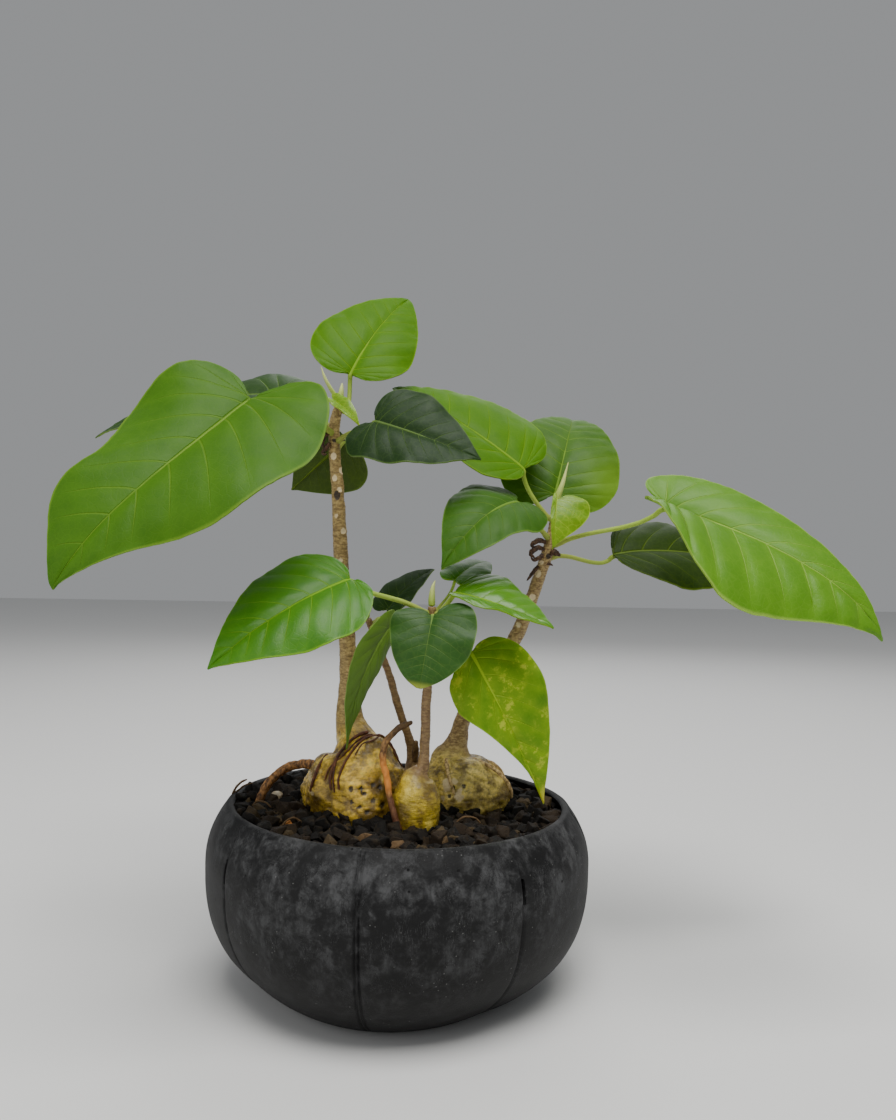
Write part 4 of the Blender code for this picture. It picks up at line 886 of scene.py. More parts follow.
# Leaf scars and dark spots on the stems: (x, z, width, height, how pale).
MARKS = {
    "trunk_left": (
        (-29, 205, 1.1, 1.5, 1), (-25.9, 199.4, 1.1, 1.4, 1), (-28.4, 196.1, 1, 1.3, 1),
        (-27.3, 189.3, 1.3, 2, -1), (-26.5, 191.3, 1, 1.2, 0.9), (-24.7, 174.8, 1, 1.3, 0.9),
        (-27.5, 181, 0.9, 1, 0.5), (-25.4, 163, 1, 1.1, 0.6), (-23.3, 150, 1, 1.2, 0.5),
        (-23.6, 138, 0.9, 1, 0.4), (-28.9, 211.5, 1, 0.9, -0.7), (-16.8, 77.9, 0.9, 0.8, -1),
        (-16.3, 73.8, 0.8, 1, -1), (-8.6, 79, 1.1, 0.8, -1), (-6.2, 77.9, 0.9, 0.8, -0.9),
        (-8.3, 73.8, 0.9, 1.2, -1), (-5, 71.7, 0.8, 0.9, -0.9), (-10.5, 69.8, 0.8, 0.8, -0.8),
        (-13.1, 71.8, 1, 0.7, -1), (-11.6, 76.2, 0.8, 0.7, -0.8), (-33.9, 79.4, 1.6, 2.2, 0.4),
        (-32.8, 75.4, 1.6, 1.8, 0.4), (-30.8, 82.8, 1.8, 1.4, 0.35),
    ),
    "trunk_right": (
        (54.5, 158.9, 1.3, 1.6, 1), (52.4, 149.3, 1.3, 1.4, 0.9), (47, 137.9, 1.1, 1.2, 0.8),
        (50.8, 159.1, 1.2, 1.3, -1), (58.6, 166, 1.2, 1.2, -0.8), (45, 129, 1, 1.2, 0.7),
        (55.9, 163.5, 0.9, 1, 0.8), (39, 121, 1, 1, 0.5), (18.9, 75, 2, 2.3, 0.8),
        (23.6, 72, 1.8, 2.4, 0.8), (17.6, 70.2, 1.3, 1.2, 0.6), (21.6, 76.6, 1.8, 1.1, 0.7),
        (21.2, 73.9, 0.8, 1.1, -1), (25.2, 75.3, 0.8, 0.8, -0.9), (19.9, 71.3, 0.7, 0.8, -0.9),
    ),
}
# A patch of small holes on the front of a base: (x, z, reach).
PITTED = {"trunk_left": (-10, 75.5, 9)}


def ring_frame(line, i):
    """Centres, radii and two across directions of a trunk's rings."""
    i = np.asarray(i)
    ahead = line[np.minimum(i + 1, len(line) - 1)] - line[np.maximum(i - 1, 0)]
    lean = np.minimum(1.0, 5.0 / line[i, 3])
    along = unit(np.stack((ahead[:, 0] * lean, ahead[:, 1] * lean, ahead[:, 2]), -1))
    across = unit(np.array((1.0, 0.0, 0.0)) - along * along[:, :1])
    return line[i, :3], line[i, 3], across, np.cross(along, across)


def trunk_skin(kind, line, i, angle):
    """Points on the trunk's smooth skin, with the outward directions and the radii of its rings."""
    centre, radius, across, over = ring_frame(line, i)
    swollen = radius.copy()
    for direction, height, out, width, half_height in kind.swell:
        turn = (np.degrees(angle) - direction + 180) % 360 - 180
        above = (centre[:, 2] - height) / half_height
        swollen = swollen + out * np.exp(-((turn / width) ** 2) - above**2)
    side = across * np.cos(angle)[:, None] + over * np.sin(angle)[:, None]
    knobs = bumps(centre + side * radius[:, None], 7)
    swollen = swollen + kind.rough * np.clip((radius - 4) / 6, 0, 1) * knobs
    return centre + side * swollen[:, None], side, radius


def root_lines(name):
    """The roots that run on a base, as (x, y, z, radius) points."""
    kind = TRUNKS[name]
    line = resampled(kind.line, 8 * (len(kind.line) - 1) + 1)
    for path, radius in ROOTS.get(name, ()):
        spots = []
        for direction, z in path:
            i = int(np.argmin(np.abs(line[:, 2] - z)))
            place, side, _ = trunk_skin(kind, line, np.array([i]), np.array([math.radians(direction)]))
            spots.append(place[0] + side[0] * (0.35 * radius + 0.45))
        count = len(spots)
        yield [(*spot, radius * (1 - 0.35 * k / (count - 1))) for k, spot in enumerate(spots)]


def pitted(name, places):
    """Where a base's skin has small holes: a patch on its front."""
    if name not in PITTED:
        return 0.0
    x, z, reach = PITTED[name]
    away = np.hypot(places[:, 0] - x, (places[:, 2] - z) * 1.2) / reach
    return (1 - ease(away, 0.5, 1.0)) * (places[:, 1] < 0)


def make_trunk(name, group):
    """A plant's stem and base as an object, and the lines of the roots that run on it."""
    kind = TRUNKS[name]
    knots = np.array(kind.line, float)
    reach = np.concatenate(([0], np.cumsum(np.linalg.norm(np.diff(knots[:, :3], axis=0), axis=1))))
    rings = int(reach[-1] / RING_GAP)
    line = along_curve(knots, np.interp(np.linspace(0, reach[-1], rings + 1), reach, range(len(knots))))
    roots = [resampled(path, 40) for path in root_lines(name)]

    def rule(x, y):
        i = np.rint(y * rings).astype(int)
        places, side, radius = trunk_skin(kind, line, i, x * math.tau)
        front = side[:, 1] < 0.3
        base = ease(radius, 3.6, 9.0) * kind.wrinkled
        stem = 1 - ease(radius, 3.6, 7.0)

        # Sharp creases run where the noise is near 0.
        slanted = places.copy()
        slanted[:, 2] = (places[:, 2] + 0.45 * places[:, 0]) * 2.2
        wrinkled = np.abs(bumps(slanted, 6.0, 1))
        crease = 1 - ease(wrinkled, 0.0, 0.2)
        small_crease = 1 - ease(np.abs(bumps(slanted * (1, 1, 0.9), 2.6, 2)), 0.0, 0.25)
        pits = ease(bumps(places, 2.6, 5), 0.30, 0.5) * pitted(name, places)
        rise = base * (0.26 * wrinkled - 0.30 * crease - 0.16 * small_crease - 1.3 * pits + 0.12)
        bark = bumps(places * (1, 1, 0.45), 1.3, 6)
        rings_round = np.sin(places[:, 2] * 2.1 + 2 * bumps(places, 9, 7)) ** 8
        rise = rise + stem * (0.16 * bark + 0.14 * rings_round + 0.22 * bumps(places, 4.5, 8))

        # The skin stays below the thin roots and swells a little along them.
        near = np.full(len(places), 99.0)
        for path in roots:
            for spot in path[::2]:
                near = np.minimum(near, np.linalg.norm(places - spot[:3], axis=1) - spot[3])
        near = np.maximum(near, 0)
        rise = np.minimum(rise, 0.3 + 0.12 * near) + 0.15 * np.exp(-near / 0.9)

        pale = np.zeros(len(places))
        for mark_x, mark_z, wide, high, light in MARKS.get(name, ()):
            on_stem = mark_z > BASE_TOP
            away = ((places[:, 0] - mark_x) / wide) ** 2 + ((places[:, 2] - mark_z) / high) ** 2
            if not on_stem:
                away = away + 1.1 * bumps(places, 1.9, 9)
            spot = (1 - ease(away, 0.55, 1.25)) * front
            pale = np.where(np.abs(spot * light) > np.abs(pale), spot * light, pale)
            rim = (1 - ease(np.abs(away - 1.0), 0.0, 0.5)) * front
            rise = rise + (0.28 if on_stem else 0.1) * rim - (0.1 if light > 0 else 0.6) * spot
        # How dark the creases and pits are painted, as shade in them.
        hollow = np.clip(base * (crease + 0.5 * small_crease + pits), 0, 1)
        values = {"hollow": hollow, "swollen": ease(radius, *kind.skin), "pale": pale, "pits": pits * base}
        return places + side * rise[:, None], values

    bm = grid(kind.sides, rings, rule, ("hollow", "swollen", "pale", "pits"))
    bmesh.ops.holes_fill(bm, edges=bm.edges, sides=kind.sides)
    return finish_mesh(bm, name, [bark_material(name, group)]), roots


def bark_rule(g, gold, olive, stem, light, dark):
    """Wrinkled olive and gold skin on the swollen base, grey-brown bark on the stem."""
    place = g.place()
    swollen = g.attribute("swollen")
    mark = g.attribute("pale")
    broad = g.noise(place, 11)
    middle = g.noise(place, 3, 5, 0.65)
    fine = g.noise(place, 0.8, 4, 0.7)
    slant = g.noise(g.place((0.5, 0.5, 2.4), (0, 0.4, 0)), 2.4, 5, 0.7)
    # Random patches: the bright gold ones are painted highlights and the dark brown ones painted shade.
    patches = g.noise(place, 7.5, 4, 0.6) * 0.7 + broad * 0.3
    base = g.layered(
        g.mix(g.step(broad * 0.6 + middle * 0.5, 0.42, 0.68), olive, gold),
        (fine, 0.58, 0.72, 0.3, (0.70, 0.48, 0.08)),
        (slant, 0.50, 0.36, 0.4, dark),
        (patches, 0.53, 0.41, 0.8, (0.120, 0.068, 0.012)),
        (patches, 0.55, 0.63, 0.7, (1.00, 0.78, 0.14)),
    )
    bands = g.noise(g.place((1, 1, 2.6)), 2, 4, 0.6)
    fibres = g.noise(g.place((1.6, 1.6, 0.5)), 1.4, 4, 0.7)
    stem = g.layered(g.mix(g.step(bands, 0.35, 0.7), stem, light), (fibres, 0.6, 0.72, 0.55, dark))
    net = 1 - g.step(g.cells(g.place((1, 1, 0.7)), 2.4, "DISTANCE_TO_EDGE"), 0, 0.13)
    net = net * (g.step(middle, 0.4, 0.6) * g.between(swollen, 0.4, 0.12))
    colour = g.mix(swollen, stem, base)
    # The net and the dots are the skin's dark pattern; the last share is painted shade in the creases and
    # pits.
    for share in (net, g.step(g.cells(place, 1.3), 0.22, 0.1) * 0.4, g.attribute("hollow") * 0.6):
        colour = g.mix(share, colour, dark)
    # The pits are painted near-black as shade in them; the marks are pale scars and dark spots.
    colour = g.layered(
        colour,
        (g.attribute("pits"), 0.25, 0.8, 0.9, (0.012, 0.008, 0.005)),
        (mark, 0.1, 0.7, 0.9, (0.80, 0.64, 0.38)),
        (mark, -0.1, -0.7, 0.92, (0.020, 0.012, 0.008)),
    )
    height = middle * 0.5 + fine * 0.4 + slant * g.between(swollen, 0.2, 0.9) - net * 0.3
    return colour, g.between(swollen, 0.52, 0.14) + middle * 0.25, height


# Dark and light colours of the thin roots that run on the bases.
DARK_ROOT = ((0.042, 0.012, 0.006), (0.17, 0.055, 0.018))
PALE_ROOT = ((0.26, 0.15, 0.05), (0.98, 0.72, 0.34))
# Of each plant: gold and olive of the base, the stem's two browns, the dark of its pattern, also its painted
# crease shade.
BARKS = {
    "trunk_left": (
        (1, 0.64, 0.05), (0.42, 0.28, 0.018), (0.2, 0.125, 0.035), (0.48, 0.34, 0.12), (0.06, 0.028, 0.006),
    ),
    "trunk_centre": (
        (0.7, 0.5, 0.03), (0.38, 0.275, 0.016), (0.22, 0.12, 0.045), (0.4, 0.26, 0.1),
        (0.075, 0.045, 0.008),
    ),
    "trunk_right": (
        (1, 0.76, 0.2), (0.64, 0.47, 0.075), (0.2, 0.115, 0.04), (0.5, 0.36, 0.14), (0.06, 0.03, 0.008),
    ),
    "trunk_back": (
        (0.46, 0.31, 0.09), (0.28, 0.19, 0.05), (0.2, 0.11, 0.045), (0.34, 0.22, 0.09), (0.06, 0.028, 0.01),
    ),
}


def bark_material(name, group):
    gold, olive, stem, light, dark = BARKS[name]

    def rule(g):
        return *g.group(group, gold=gold, olive=olive, stem=stem, light=light, dark=dark), 0.45

    return finish(f"{name} bark", rule, coat=0.35 if name == "trunk_centre" else 0.15)


def root_material(name, dark, light, bright=None):
    """Dry root. bright is the share of its length round which the skin has come off orange."""
    def rule(g):
        streaks = g.noise(g.place((1, 1, 0.6)), 1.1, 5, 0.65)
        colour = g.mix(g.step(streaks, 0.35, 0.7), dark, light)
        if bright is not None:
            share = g.attribute("length")
            colour = g.layered(
                colour,
                (abs(share - bright), 0.16, 0.04, 0.8, (0.85, 0.30, 0.05)),
                (share, 0.66, 0.78, 0.75, (0.055, 0.032, 0.014)),
                (share, 0.36, 0.28, 0.75, (0.085, 0.022, 0.010)),
            )
        return colour, 0.5 + streaks * 0.3, streaks, 0.35

    return finish(name, rule, 0.4)


# Pot

POT_RADIUS = 74.7
POT_HEIGHT = 68.5
POT_WAIST_Z = 48.5
POT_TOP_HALF = 44.0
POT_FOOT_HALF = 58.4
POT_FOOT_POWER = 2.84
POT_WALL = 2.6
POT_FLOOR = 5.0
POT_LOBES = 8
GROOVE_STEP = math.tau / POT_LOBES
FIRST_GROOVE = math.radians(-97.3)
VALLEY_AT_RIM = 0.006
VALLEY_AT_FOOT = 0.055
RIM_FALL = math.tan(math.radians(0.8))
SLIT_WIDTH = 1.4
SLIT_HEIGHT = 8.8
SLIT_Z = 52.6
DRAIN_RADIUS = 4.5
DRAIN_RING = 22.0
SOIL_Z = 66.2
SOIL_FALL = 0.035


def wall_radius(z, inset=0.0):
    """The pot's outer radius at heights, or one that lies this far inside the wall's face."""
    above = (np.maximum(z - POT_WAIST_Z, 0) / (POT_TOP_HALF - inset)) ** 2
    below = (np.maximum(POT_WAIST_Z - z, 0) / (POT_FOOT_HALF - inset)) ** POT_FOOT_POWER
    return (POT_RADIUS - inset) * np.sqrt(np.maximum(0.0, 1 - above - below))


def lobed(places):
    """Draws round pot points in along its valleys, most at the foot, and lowers the right of the rim."""
    x, y, z = places.T
    valley = 1 - np.abs(np.cos(POT_LOBES / 4 * (np.arctan2(y, x) - FIRST_GROOVE)))
    height = np.clip(z / POT_HEIGHT, 0, 1)
    shrink = 1 - (VALLEY_AT_RIM + (VALLEY_AT_FOOT - VALLEY_AT_RIM) * (1 - height) ** 2) * valley
    return np.stack((x * shrink, y * shrink, z - RIM_FALL * x * (z / POT_HEIGHT) ** 2), -1)


def pot_profile():
    """Radius and height down the pot: floor, inner wall, rounded rim, outer wall and foot."""
    floor = [(r, POT_FLOOR) for r in (0, 12, 24, 33)]
    inner = [(wall_radius(z, POT_WALL), z) for z in np.linspace(POT_FLOOR + 0.3, POT_HEIGHT - 1.5, 26)]
    faces = wall_radius(POT_HEIGHT - 1), wall_radius(POT_HEIGHT - 1, POT_WALL)
    middle, half = (faces[0] + faces[1]) / 2, (faces[0] - faces[1]) / 2
    turns = np.radians((10, 35, 60, 90, 120, 145, 165))
    rim = [(middle - half * math.cos(a), POT_HEIGHT - 1 + math.sin(a)) for a in turns]
    outer = [(wall_radius(z), z) for z in np.linspace(POT_HEIGHT - 1.6, 1.6, 56)]
    foot = [(wall_radius(0.0) - inset, z) for inset, z in ((0.1, 0.9), (0.6, 0.25), (1.4, 0))]
    return np.array(floor + inner + rim + outer + foot + [(24, 0), (12, 0), (0, 0)], float)


def pot_angles():
    """Directions round the pot, closer together at its grooves."""
    close = np.radians((0.25, 0.5, 0.75, 1.0, 1.3, 1.7, 2.2))
    wide = np.linspace(math.radians(3), GROOVE_STEP - math.radians(3), 36)
    one = np.concatenate(([0], close, wide, (GROOVE_STEP - close)[::-1]))
    return FIRST_GROOVE + np.concatenate([one + i * GROOVE_STEP for i in range(POT_LOBES)] + [[math.tau]])


def cutter(name, bm, place):
    bmesh.ops.translate(bm, verts=bm.verts, vec=Vector(place) * MM)
    return finish_mesh(bm, name)


def slit_cutter(i):
    """A round-cornered bar through the wall, on every second groove."""
    angle = FIRST_GROOVE + (i + 1) * GROOVE_STEP
    radius = wall_radius(SLIT_Z)
    bm = bmesh.new()
    bmesh.ops.create_cube(bm, size=1)
    bmesh.ops.scale(bm, vec=Vector((4 * POT_WALL, SLIT_WIDTH, SLIT_HEIGHT)) * MM, verts=bm.verts)
    ribs = [edge for edge in bm.edges if abs(edge.verts[0].co.x - edge.verts[1].co.x) > MM]
    bmesh.ops.bevel(bm, geom=ribs, offset=0.45 * MM, segments=3, affect="EDGES", profile=0.5, material=-1)
    bmesh.ops.rotate(bm, verts=bm.verts, matrix=Matrix.Rotation(angle, 3, "Z"))
    return cutter(f"slit_{i}", bm, lobed(around(radius, angle, SLIT_Z)[None])[0])


def drain_cutter(i):
    angle = math.radians(30) + i * math.tau / 3
    radius = DRAIN_RADIUS * MM
    bm = bmesh.new()
    depth = 3 * POT_FLOOR * MM
    bmesh.ops.create_cone(bm, cap_ends=True, segments=40, radius1=radius, radius2=radius, depth=depth)
    return cutter(f"drain_{i}", bm, around(DRAIN_RING, angle, POT_FLOOR / 2))


def make_pot():
    profile, angles = pot_profile(), pot_angles()
    rim_top = int(np.argmax(profile[:, 1]))

    def rule(x, y):
        row = np.rint(y * (len(profile) - 1)).astype(int)
        angle = angles[np.rint(x * (len(angles) - 1)).astype(int)]
        radius, z = profile[row].T
        groove = np.round((angle - FIRST_GROOVE) / GROOVE_STEP)
        away = (angle - FIRST_GROOVE - groove * GROOVE_STEP) * radius
        outside = (row > rim_top) & (z > 2)
        single = 0.7 * np.exp(-((away / 0.6) ** 2))
        double = 0.8 * (np.exp(-(((away - 0.75) / 0.42) ** 2)) + np.exp(-(((away + 0.75) / 0.42) ** 2)))
        slitted = (groove.astype(int) % 2) == 1
        radius = radius - outside * np.where(slitted, single * ease(z, 66, 60), double * ease(z, 68.5, 66))
        places = lobed(around(radius, angle, z))
        swell = 0.22 * bumps(places, 22, 1) + 0.07 * bumps(places, 6, 2)
        ways = unit(places * (1, 1, 0) + (0, 0, 1e-6))
        return places + ways * (swell * outside * ease(z, 0, 8))[:, None], {}

    pot = finish_mesh(grid(len(angles) - 1, len(profile) - 1, rule, merge=0.01), "pot_shell")
    cutters = [slit_cutter(i) for i in range(0, POT_LOBES, 2)] + [drain_cutter(i) for i in range(3)]
    for shape in cutters:
        cut = pot.modifiers.new("cut", "BOOLEAN")
        cut.operation = "DIFFERENCE"
        cut.solver = "MANIFOLD"
        cut.object = shape
    applied(pot)
    for shape in cutters:
        bpy.data.objects.remove(shape)
    # The cuts leave an empty material slot.
    pot.data.materials.clear()
    pot.data.set_sharp_from_angle(angle=math.radians(38))
    return pot


def pot_rule(g):
    """Black plastic with grey dust and scuffs, which thin out towards the foot, where painted shade darkens
    the plastic.
    """
    place = g.place()
    # upper rises from the foot: it thins the dust and scuffs there and sets the painted shade at the foot.
    upper = g.step(g.parts(place)[2], 0, 0.058, 0.12, 1)
    patch = g.noise(place, 5, 6, 0.75, 0.4)
    brush = g.noise(g.place((1, 1, 0.35), (0.4, 0.25, 0)), 2.4, 5, 0.7)
    dust = g.step(g.noise(place, 17, 6, 0.72, 0.5) * 0.5 + patch * 0.5, 0.44, 0.62)
    dust = dust * g.step(brush, 0.32, 0.62, 0.3, 1) * upper
    specks = g.step(g.cells(place, 2.1), 0.13, 0.06) * g.step(g.noise(place, 13, 2), 0.48, 0.58)
    scratch = g.noise(g.place((2.4, 2.4, 0.25), (0.5, 0.2, 0)), 1.1, 2, 0.5)
    scratch = g.step(abs(scratch - 0.5), 0.014, 0.004) * g.step(g.noise(place, 8, 1), 0.5, 0.6) * upper
    pits = g.step(g.cells(place, 5.5), 0.1, 0.06) * g.step(g.noise(place, 20, 1), 0.5, 0.56)
    # The plastic is painted darker towards the foot, as shade.
    colour = g.mix(upper, (0.0020, 0.0016, 0.0013), (0.0065, 0.0065, 0.0068))
    for share, tone in (
        (dust * 0.85, (0.076, 0.077, 0.079)), (specks * 0.45, (0.26, 0.26, 0.25)),
        (scratch * 0.4, (0.15, 0.15, 0.155)), (pits, (0.001, 0.001, 0.001)),
    ):
        colour = g.mix(share, colour, tone)
    return colour, 0.56 + dust * 0.3, patch * 0.5 + g.noise(place, 0.7) * 0.4 - scratch * 0.25 - pits, 0.2


# Soil

GOLDEN_ANGLE = math.pi * (3 - math.sqrt(5))
STONE_RADIUS = 3.5
STONE_CLEAR = 3.4
low, high = (Vector(corner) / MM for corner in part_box("pale_stone"))
STONE = (low + high) / 2


def soil_height(x, y):
    return SOIL_Z - SOIL_FALL * x + 1.2 * noise.noise(Vector((x, y, 5.0)) / 23)


def soil_edge(x, y):
    """How far the soil reaches in the direction of a point, in millimetres."""
    spot = lobed(np.array([(x, y, 62.0)]))[0]
    return math.hypot(spot[0], spot[1]) / max(math.hypot(x, y), 1e-6) * (wall_radius(64.0, POT_WALL) - 0.6)


def grain_mould(rng, corners):
    """An angular grain of radius 1: the convex hull of points on a knocked-about ball."""
    bm = bmesh.new()
    for k in range(corners):
        z = 1 - 2 * (k + 0.5) / corners
        ring = math.sqrt(1 - z * z)
        point = Vector((ring * math.cos(k * GOLDEN_ANGLE), ring * math.sin(k * GOLDEN_ANGLE), z))
        bm.verts.new(point + Vector([rng.uniform(-0.38, 0.38) for _ in range(3)]))
    hull = bmesh.ops.convex_hull(bm, input=bm.verts)
    inside = {item for item in hull["geom_interior"] if isinstance(item, bmesh.types.BMVert)}
    bmesh.ops.delete(bm, geom=list(inside), context="VERTS")
    bmesh.ops.bevel(
        bm, geom=bm.edges[:], offset=0.07, segments=1, affect="EDGES", profile=0.5, material=-1,
        clamp_overlap=True,
    )
    bmesh.ops.recalc_face_normals(bm, faces=bm.faces)
    mesh = to_mesh(bm, "grain")
    mesh.attributes.new("tone", "FLOAT", "POINT")
    return mesh


def add_grain(bm, mould, centre, radius, tone, rng, tilt=1.3):
    """Puts a turned copy of a mould into the soil's bmesh."""
    grain = mould.copy()
    squash = Matrix.Diagonal((rng.uniform(0.8, 1.2), rng.uniform(0.75, 1.1), rng.uniform(0.65, 1.0), 1))
    turn = Matrix.Rotation(rng.uniform(0, math.tau), 4, "Z") @ Matrix.Rotation(rng.uniform(0, tilt), 4, "X")
    grain.transform(Matrix.Translation(Vector(centre) * MM) @ turn @ squash @ Matrix.Scale(radius * MM, 4))
    grain.attributes["tone"].data.foreach_set("value", [tone] * len(grain.vertices))
    bm.from_mesh(grain)
    bpy.data.meshes.remove(grain)


# Dead root hairs that lie on the grit.
HAIRS = (
    ((-67.5, 2, 66, 0.5), (-66, 0, 70.5, 0.5), (-63.5, -1, 73.8, 0.45), (-60.5, -1, 75.5, 0.3)),
    ((-67, 3, 68.5, 0.4), (-64.5, 1, 70.5, 0.4), (-62, 0, 72.6, 0.35), (-58.5, 1, 73.6, 0.2)),
    ((-56, -14, 68, 0.35), (-53.5, -15, 70.2, 0.35), (-50, -17, 70.4, 0.3), (-47.5, -18, 68.6, 0.3)),
    ((22, -31, 67.5, 0.4), (25, -31, 69.8, 0.4), (29, -31, 69.6, 0.35), (31.5, -31, 67.4, 0.3)),
    ((-33, -33, 67, 0.4), (-36, -34, 69.4, 0.4), (-38.5, -36, 69, 0.35), (-40.5, -37, 66.8, 0.3)),
)
# Grains that catch the light or the eye: (x, y, z, radius, tone).
BRIGHT_GRAINS = (
    (-8.8, -52, 67.6, 3, 1.3), (2.5, -54, 65.9, 2.6, 1.25), (-38, -34, 67, 1.9, 1.9),
    (18, -46, 65.5, 2.2, 1.15),
)


def make_bed():
    """The grit's closed bed with its rough top, as a bmesh."""
    def rule(x, y):
        angle = x * math.tau
        bottom = np.interp(y, np.linspace(0, 0.3, 6), (0, 0.5, 1, 1, 1, 1))
        share = np.where(y < 0.3, bottom, np.interp(y, (0.3, 1), (1, 0)))
        height = np.minimum(np.interp(y, (0, 0.12, 0.18, 0.24, 0.3), (8, 8, 25, 45, 66)), 64.0)
        radius = (wall_radius(height, POT_WALL) - 0.7) * share
        places = lobed(around(radius, angle, height))
        top = [soil_height(a, b) - 2.6 + 1.1 * noise.noise(Vector((a, b, 1)) / 3) for a, b, _ in places]
        places[:, 2] = np.where(y >= 0.3, top, places[:, 2])
        return places, {"tone": np.full(len(places), 0.1)}

    bed = grid(96, 26, rule, floats=("tone",))
    bmesh.ops.recalc_face_normals(bed, faces=bed.faces)
    return bed


def blocked(x, y, z, radius):
    """Whether a grain would stand in a plant's base or on the pale stone."""
    if math.hypot(x - STONE.x, y + 1.2 - STONE.y) < STONE_CLEAR + 0.7 * radius:
        return True
    here = (axis_at(name, z) for name in TRUNKS)
    return any(math.hypot(x - line[0], y - line[1]) < line[3] - 0.2 * radius for line in here)


def make_soil(material):
    """A bed with rough top, covered with loose angular grains of two sizes."""
    rng = random.Random(11)
    bed = make_bed()
    moulds = [grain_mould(rng, corners) for corners in (9, 10, 10, 11, 12, 12, 13, 14)]
    for count, sizes, lift in ((560, (2.6, 4.2), 0.1), (1250, (1.0, 2.3), 0.55)):
        for i in range(count):
            away = math.sqrt((i + rng.random()) / count)
            angle = i * GOLDEN_ANGLE + rng.uniform(-0.2, 0.2)
            size = rng.uniform(*sizes)
            edge = soil_edge(math.cos(angle), math.sin(angle)) - 0.75 * size
            x, y = away * edge * math.cos(angle), away * edge * math.sin(angle)
            z = soil_height(x, y) - lift * size + rng.uniform(-1.3, 0.9) - 0.4
            tone = rng.random() ** 2.2
            mould = rng.choice(moulds)
            if not blocked(x, y, z, size):
                add_grain(bed, mould, (x, y, z), size, tone, rng)
    for x, y, z, size, tone in BRIGHT_GRAINS:
        add_grain(bed, moulds[3], (x, y, z), size, tone, rng)
    for mould in moulds:
        bpy.data.meshes.remove(mould)
    return finish_mesh(bed, "grit_bed", [material], smooth=False, turn_out=False)


def grit_rule(g):
    """Near-black grit. Higher tones are browner grains, and one is orange."""
    place = g.place()
    tone = g.attribute("tone")
    fine = g.noise(place, 0.9, 5, 0.7)
    pores = g.step(g.cells(place, 0.8), 0.3, 0.12)
    colour = g.layered(
        g.mix(g.step(tone, 0.1, 0.8), (0.0028, 0.0018, 0.0009), (0.020, 0.0115, 0.0045)),
        (tone, 0.75, 1.0, 1, (0.066, 0.044, 0.018)),
        (tone, 1.0, 1.3, 1, (0.120, 0.070, 0.030)),
        (tone, 1.5, 1.9, 1, (0.42, 0.16, 0.03)),
        (g.noise(place, 3), 0.5, 0.75, 0.4, (0.046, 0.030, 0.013)),
    )
    colour = g.mix(pores * 0.7, colour, (0.003, 0.002, 0.002))
    colour = g.layered(colour, (fine, 0.62, 0.78, 0.22, (0.13, 0.095, 0.055)))
    return colour, 0.62 + fine * 0.3, fine - pores * 0.8, 0.4


# Growing tips and the stone

# Buds and sheaths as (x, y, z, radius) points.
BUDS = {
    "bud_left": (
        ((-27, 4.5, 227, 1.6), (-26.6, 4.2, 231, 1.3), (-26.2, 4, 235, 0.3)),
        ((-28, 4.5, 228.4, 1.1), (-30.5, 3.5, 232, 1), (-33, 2, 236.5, 0.7), (-34.5, 1, 241, 0.12)),
    ),
    "bud_right": (((61.4, 8, 187, 1.6), (62.5, 8, 191, 1.6), (64.5, 8, 197, 1), (66.5, 8, 205, 0.12)),),
    "bud_centre": (
        ((12.1, -25, 146, 1.5), (12, -25, 149, 1.5), (12.3, -25, 153, 0.9), (13.2, -25, 156, 0.12)),
    ),
    "bud_back": (((-15.1, 15, 139.2, 1.2), (-15.6, 15, 142, 0.9), (-16, 15, 144.5, 0.12)),),
}


def bud_rule(g):
    streaks = g.noise(g.place((1, 1, 0.15)), 0.9)
    colour = g.mix(g.step(g.attribute("length"), 0.1, 0.9), (0.30, 0.46, 0.04), (0.66, 0.74, 0.24))
    return g.mix(streaks * 0.2, colour, (0.30, 0.17, 0.06)), 0.36 + streaks * 0.2, streaks, 0.15


def stone_rule(g):
    place = g.place()
    fine = g.noise(place, 0.8, 5, 0.7)
    colour = g.mix(g.step(g.noise(place, 3, 2), 0.35, 0.7), (0.34, 0.27, 0.17), (0.56, 0.50, 0.38))
    return g.layered(colour, (fine, 0.6, 0.75, 0.5, (0.16, 0.11, 0.06))), 0.85, fine, 0.3


# The planting

LENGTH = ("length",)
blade_skin = shader_group(
    "leaf blade", ("deep", "light", "vein"), ("veins", "netted", "clouded", "gloss", "length"), blade_rule
)
for kind in LEAVES:
    obj, blade = make_blade(kind, blade_skin)
    _, light, vein = LOOKS[kind.look][:3]
    green = tinted(light, 0.6, (0.42, 0.56, 0.07))
    brown = tinted(green, 0.45, (0.30, 0.22, 0.07))
    skin = stalk_material(f"{kind.name} stalk", brown, green, tinted(vein, 0.4, light))
    points = stalk_points(kind, blade)
    sides = 12 if kind.small else 16
    stalk = sleeve(f"{kind.name}_stalk", points, skin, 0.9, sides, 0.04, floats=LENGTH)
    whole = joined(kind.name + "_blade", [obj, stalk])
    whole.data.set_sharp_from_angle(angle=math.radians(50))
    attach(whole, "root")
    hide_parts(kind.name)
    SLOTS.get(kind.look, "leaf_dark")

